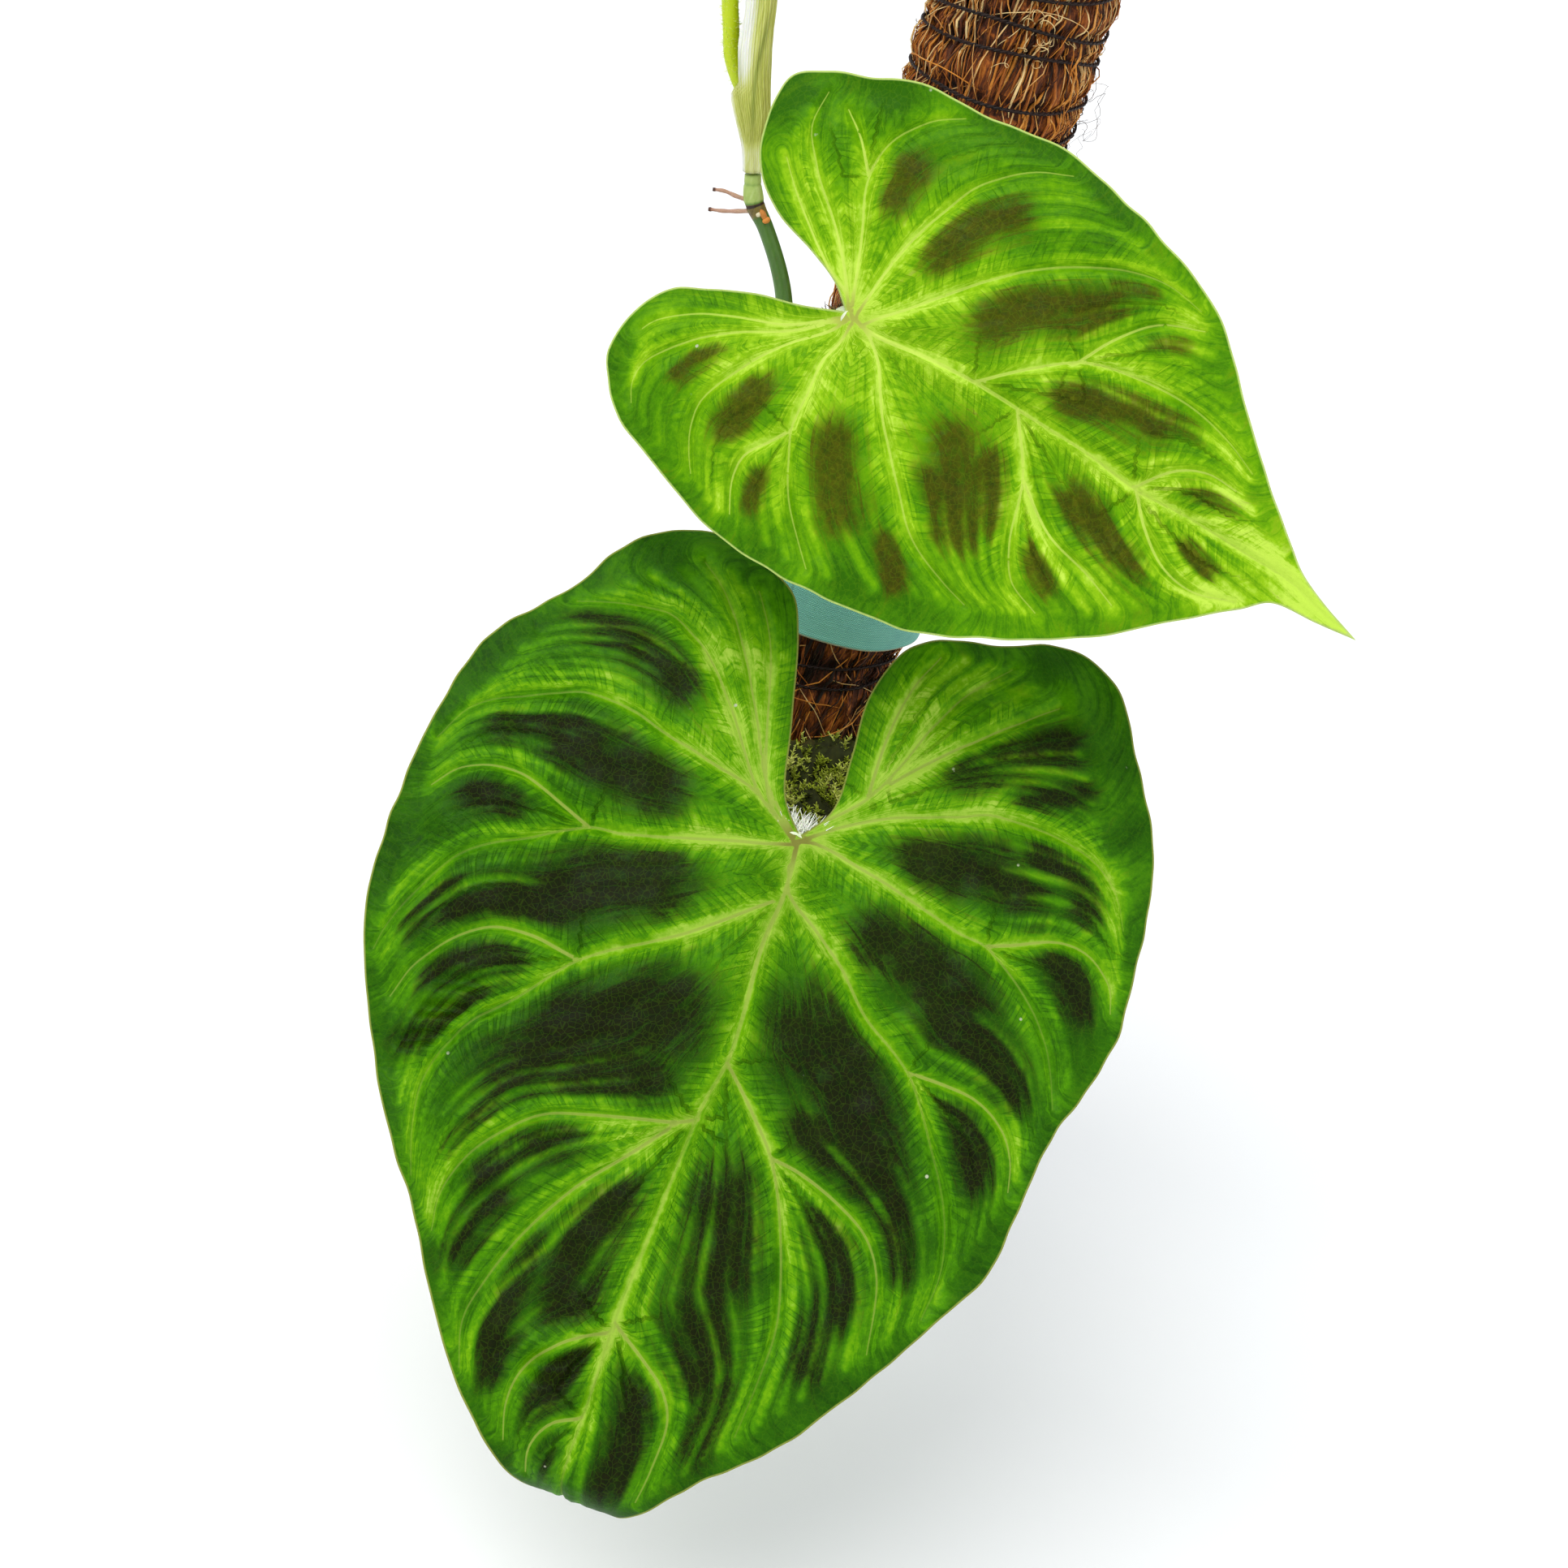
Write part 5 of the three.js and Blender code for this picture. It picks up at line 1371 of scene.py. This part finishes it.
def sinus_tuft():
    """The white bristles on the top of the lower stalk, which fan out in the blade's sinus."""
    draw = np.random.default_rng(44)
    count = 330
    across, along, facing = blade_frame(LOWER_LEAF)
    spread = draw.uniform(-1, 1, count)[:, None]
    foot = np.array(LOWER_LEAF["junction"]) - draw.uniform(1.5, 3.4, (count, 1)) * facing
    foot = foot + (0.9 + 3.4 * spread) * across - draw.uniform(1.0, 4.6, (count, 1)) * along
    lean = (0.55 * spread + draw.normal(0.12, 0.3, (count, 1))) * across - along
    lean = lean + draw.normal(-0.02, 0.1, (count, 1)) * facing
    size = draw.uniform(2.2, 4.4, (count, 1, 1))
    t = np.linspace(0, 1, 6)[None, :, None]
    bend = draw.normal(0, 0.3, (count, 1, 3))
    lines = foot[:, None] + size * (lean[:, None] * t + bend * t * t)
    radii = 0.2 * draw.uniform(0.7, 1.2, (count, 1)) * (1 - 0.75 * np.linspace(0, 1, 6) ** 1.5)
    return tubes(lines, radii, 3, (0.21, 0.34, 0.92))


def petioles():
    """The two leaf stalks: pale bristles on the lower one, dark red ones on the upper."""
    stops = [(0.0, "3c1412"), (0.25, "6a3022"), (0.45, "7d7a38"), (0.6, "b8c888"), (0.75, "eef4d8"),
             (1.0, "fbfdf0")]
    for name, points, leaf, base, end, length, node, seed, paint_range, count in (
            ("lower_stalk", LOWER_PETIOLE, LOWER_LEAF, 2.7, 2.3, (1.8, 3.9), "lower_petiole", 41,
             (0.3, 1.0), 2600),
            ("upper_stalk", UPPER_PETIOLE, UPPER_LEAF, 2.5, 2.1, (1.4, 3.0), "upper_petiole", 42,
             (0.02, 0.3), 2100)):
        has_tuft = leaf is LOWER_LEAF
        last = 0.94 if has_tuft else 0.995
        line = even_line(points, 0.9)
        share = np.linspace(0, 1, len(line))
        radius = base + (end - base) * np.minimum(1, 2.5 * share)
        low, high = paint_range
        heap = Heap()
        skin = 0.45 + 0.25 * share
        heap.add(tubes([line], [radius], 28, (0.25, 0.1, 1)), along_tubes(skin, 28))
        steps = 4 if has_tuft else 3
        hairs, spots = bristles(line, end, count, length, 0.24, seed, (0.02, last), steps, leaf)
        draw = np.random.default_rng(seed + 10)
        tint = low + (high - low) * spots ** 1.5 + draw.normal(0, 0.07, len(spots))
        heap.add(hairs, along_tubes(np.clip(tint, 0, 1)[:, None] * np.ones(steps), 3))
        if has_tuft:
            heap.add(sinus_tuft(), 0.97)
        heap.made(name, stalk_finish(name, stops, 0.5), "petiole", [node])


def sheath_finish():
    """Thin pale skin with fine fibres, olive where the field says so."""
    f = Finish("sheath", Roughness=0.5, Specular_IOR_Level=0.35, Subsurface_Weight=0.35,
               Subsurface_Radius=(1.2 * MM, 1.4 * MM, 0.6 * MM))
    fibre = f.maths("SINE", f.times(f.field("turn"), 52.0))
    grain = f.noise(f.stretched(f.place(), (1, 1, 0.08)), 1300, 4, 0.6)
    tint = f.plus(f.field("tint"), f.times(fibre, 0.10))
    tint = f.varied(tint, grain, 0.5, clamp=True)
    stops = [(0.0, "fbfcf4"), (0.3, "eef0d2"), (0.6, "d8dc84"), (0.8, "c4c95e"), (1.0, "a4aa3c")]
    colour = f.ramp(tint, stops)
    colour = f.blended(f.times(f.field("olive"), 0.8), colour, paint("8c9a3c"))
    f.feed("Base Color", colour)
    f.feed("Normal", f.bump(f.plus(fibre, grain), 0.15, 0.6))
    return f.material


def sheath():
    """The leaf sheath: closed round its foot, higher up open towards the stalk that comes out of it."""
    rows, columns = 90, 110
    line = even_line(SHEATH_STATIONS, count=rows)
    height = line[:, 1][:, None]
    centre = np.stack([line[:, 0], np.full(rows, float(STEM_PLANE_Y)), line[:, 1]], axis=1)
    radius = line[:, 2]
    along = np.gradient(centre, axis=0)
    along /= np.linalg.norm(along, axis=1)[:, None]
    front = np.array([0.0, -1.0, 0.0])
    right = np.cross(along, front)
    share = np.linspace(-1, 1, columns)[None]
    t = np.linspace(0, 1, rows)[:, None]
    ragged = 1 + (0.03 * np.sin(19 * t) + 0.02 * np.sin(47 * t)) * ease(height, 300, 306)
    closed, open_by = 174, 62
    opening = np.radians(closed - open_by * ease(height, 298, 303.5)) * ragged
    angle = opening * share
    ribs = 0.11 * np.sin(30 * angle) * ease(height, 283, 290) + 0.15 * ripple(angle * 8, 30 * t, 6, 51)
    thin = 0.24 + 0.3 * (1 - share ** 2) * (1 - 0.6 * t)
    flare = 0.5 * ease(np.abs(share), 0.8, 1) * np.sin(14 * t + 2 * share) * ease(height, 298, 306)

    def skin(reach):
        return (centre[:, None] + right[:, None] * (reach * np.cos(angle))[..., None]
                + front * (reach * np.sin(angle))[..., None])

    outer = radius[:, None] + ribs + flare
    points, faces = shell(skin(outer), skin(outer - thin))
    side = np.cos(angle)
    upper = ease(height, 299, 309)
    green = 0.55 + 0.3 * ease(height, 285, 290) * (1 - 0.35 * ease(height, 296, 312))
    green = green * (1 - 0.95 * upper * (1 - ease(side, -0.1, 0.45)))
    green -= 0.5 * ease(-side, 0.55, 0.95) * (1 - upper)
    middle = np.interp(height, (290, 294, 302, 315, 324), (0.05, 0.16, 0.39, 0.72, 0.8))
    shown = ease(height, 289, 295) * (1 - ease(height, 314, 322))
    olive = np.exp(-((side - middle) / 0.1) ** 2) * shown
    olive = olive + 0.7 * np.exp(-((height - 307) / 4.5) ** 2) * ease(-side, 0.05, 0.5)
    fields = {"tint": np.tile(np.clip(green, 0, 1).ravel(), 2),
              "olive": np.tile(np.clip(olive, 0, 1).ravel(), 2),
              "turn": np.tile(angle.ravel(), 2)}
    piece("sheath_skin", points, faces, [sheath_finish()], ["sheath"], fields)


def young_stalk():
    """The yellow-green stalk that comes out of the sheath, with short fine hairs."""
    stops = [(0.0, "9aac0c"), (0.35, "b9cf06"), (0.7, "cfe016"), (1.0, "ecf29a")]
    line = even_line(YOUNG_PETIOLE, 0.7)
    heap = Heap()
    share = np.linspace(0, 1, len(line))
    radius = 1.4 + 0.75 * np.minimum(1, 8 * share) + 0.06 * np.cos(9 * share)
    heap.add(tubes([line], [radius], 26, (0, 1, 0.2)), along_tubes(0.4 + 0.2 * share, 26))
    hairs, _ = bristles(line, 2.2, 1500, (0.5, 1.3), 0.08, 43, (0.1, 1), 3)
    heap.add(hairs, 0.9)
    heap.made("young_stalk", stalk_finish("young_stalk", stops, 0.45, 0.2), "young_stalk", ["young_petiole"])


def rolled_leaf():
    """The next leaf, still rolled up into a spindle whose edge winds round it."""
    rows, sides = 110, 56
    line = even_line(ROLLED_LEAF, count=rows)
    t = np.linspace(0, 1, rows)
    angles = FULL_TURN * np.arange(sides) / sides
    swell = 0.7 + 0.65 * np.sin(math.pi * (0.02 + 0.9 * t)) ** 0.8
    edge = (angles[None] / FULL_TURN + 0.35 * t[:, None]) % 1
    creases = 0.035 * np.sin(FULL_TURN * 7 * edge + 9 * t[:, None]) * np.sin(math.pi * t)[:, None]
    radii = 3.1 * swell[:, None] * (1 + 0.24 * edge + creases) * (1 - t[:, None] ** 4)
    heap = Heap()
    tint = 0.25 + 0.4 * edge + 0.2 * (1 - t[:, None])
    heap.add(tubes([line], np.maximum(radii, 0.12)[None], sides, (0, 1, 0.1)), tint.ravel())
    stops = [(0.0, "7a4a1c"), (0.25, "8c8a20"), (0.5, "9fb422"), (0.8, "c4d440"), (1.0, "e0e48a")]
    heap.made("rolled_blade", stalk_finish("rolled_blade", stops, 0.42, 0.15), "young_leaf", ["rolled_leaf"])


# Camera, floor and light

FOCAL_PIXELS, FRAME_PIXELS, SENSOR = 3200, 1932, 36
CAMERA_PLACE = (4, -640, 464)
CAMERA_DOWN, CAMERA_ROLL = math.radians(28), math.radians(18)


def place_camera():
    """Looks down on the plant from the front, rolled, so that the pole leans to the right."""
    forward = Vector((0, math.cos(CAMERA_DOWN), -math.sin(CAMERA_DOWN)))
    level = Vector((1, 0, 0))
    upward = level.cross(forward)
    right = math.cos(CAMERA_ROLL) * level + math.sin(CAMERA_ROLL) * upward
    above = math.cos(CAMERA_ROLL) * upward - math.sin(CAMERA_ROLL) * level
    data = bpy.data.cameras.new("camera")
    data.sensor_width = SENSOR
    data.lens = FOCAL_PIXELS / FRAME_PIXELS * SENSOR
    data.clip_start, data.clip_end = 0.01, 50
    camera = bpy.data.objects.new("camera", data)
    turn = Matrix((right, above, -forward)).transposed().to_4x4()
    camera.matrix_world = Matrix.Translation(Vector(CAMERA_PLACE) * MM) @ turn
    scene.collection.objects.link(camera)
    scene.camera = camera


def soft_light(name, from_side, power, width, colour):
    """An even light from one side, as wide as the given angle in degrees, so its shadows are soft."""
    data = bpy.data.lights.new(name, "SUN")
    data.energy, data.angle, data.color = power, math.radians(width), colour
    light = bpy.data.objects.new(name, data)
    light.location = Vector(from_side)
    light.rotation_mode = "QUATERNION"
    light.rotation_quaternion = (-Vector(from_side)).to_track_quat("-Z", "Y")
    scene.collection.objects.link(light)


def studio():
    """A pale floor, a bright even surrounding, and two soft lights."""
    half = 6000
    mesh = bpy.data.meshes.new("floor")
    corners = [(-half, -half), (half, -half), (half, half), (-half, half)]
    mesh.from_pydata([(x * MM, y * MM, 0) for x, y in corners], [], [(0, 1, 2, 3)])
    f = Finish("floor", Roughness=0.7, Specular_IOR_Level=0.2)
    f.feed("Base Color", f.ramp(f.noise(f.place(), 3.0), [(0.3, "fdfeff"), (0.7, "ffffff")]))
    mesh.materials.append(f.material)
    floor = bpy.data.objects.new("floor", mesh)
    scene.collection.objects.link(floor)
    world = bpy.data.worlds.new("studio")
    world.use_nodes = True
    world.node_tree.nodes["Background"].inputs["Color"].default_value = (0.95, 0.975, 1, 1)
    world.node_tree.nodes["Background"].inputs["Strength"].default_value = 0.69
    scene.world = world
    soft_light("key", (-0.8, -0.7, 1.5), 1.65, 45, (1, 0.995, 0.98))
    soft_light("fill", (1.1, -0.9, 0.9), 0.55, 60, (0.96, 0.98, 1))
    scene.view_settings.view_transform = "Standard"


place_camera()
studio()
lower_face = blade_finish("lower_blade_face", ("1b4600", "2c6200", "478600", "6ea606", "a0c442"),
                          ("0b0f02", "1a1405"), ("98ac48", "6e4c2c"), "8f9a44", 0.95)
upper_face = blade_finish("upper_blade_face", ("2c6000", "468200", "66a000", "90c014", "bde04c"),
                          ("292003", "463105"), ("c8e25e", "8f8040"), "b9d070", 0.85)
lower_back = underside_finish("lower_blade_back", ("5f8a48", "7ba45c"), "6d2a2c")
upper_back = underside_finish("upper_blade_back", ("84ae58", "a2c470"), "8a4a3c")
blade("lower_blade", LOWER_LEAF, "lower_leaf", lower_face, lower_back)
blade("upper_blade", UPPER_LEAF, "upper_leaf", upper_face, upper_back)
coir()
wire()
stake()
band()
moss()
chips()
pot()
stem()
aerial_roots()
petioles()
sheath()
young_stalk()
rolled_leaf()
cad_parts["potting_mix"].material_slots[0].link = "OBJECT"
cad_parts["potting_mix"].material_slots[0].material = soil_finish()
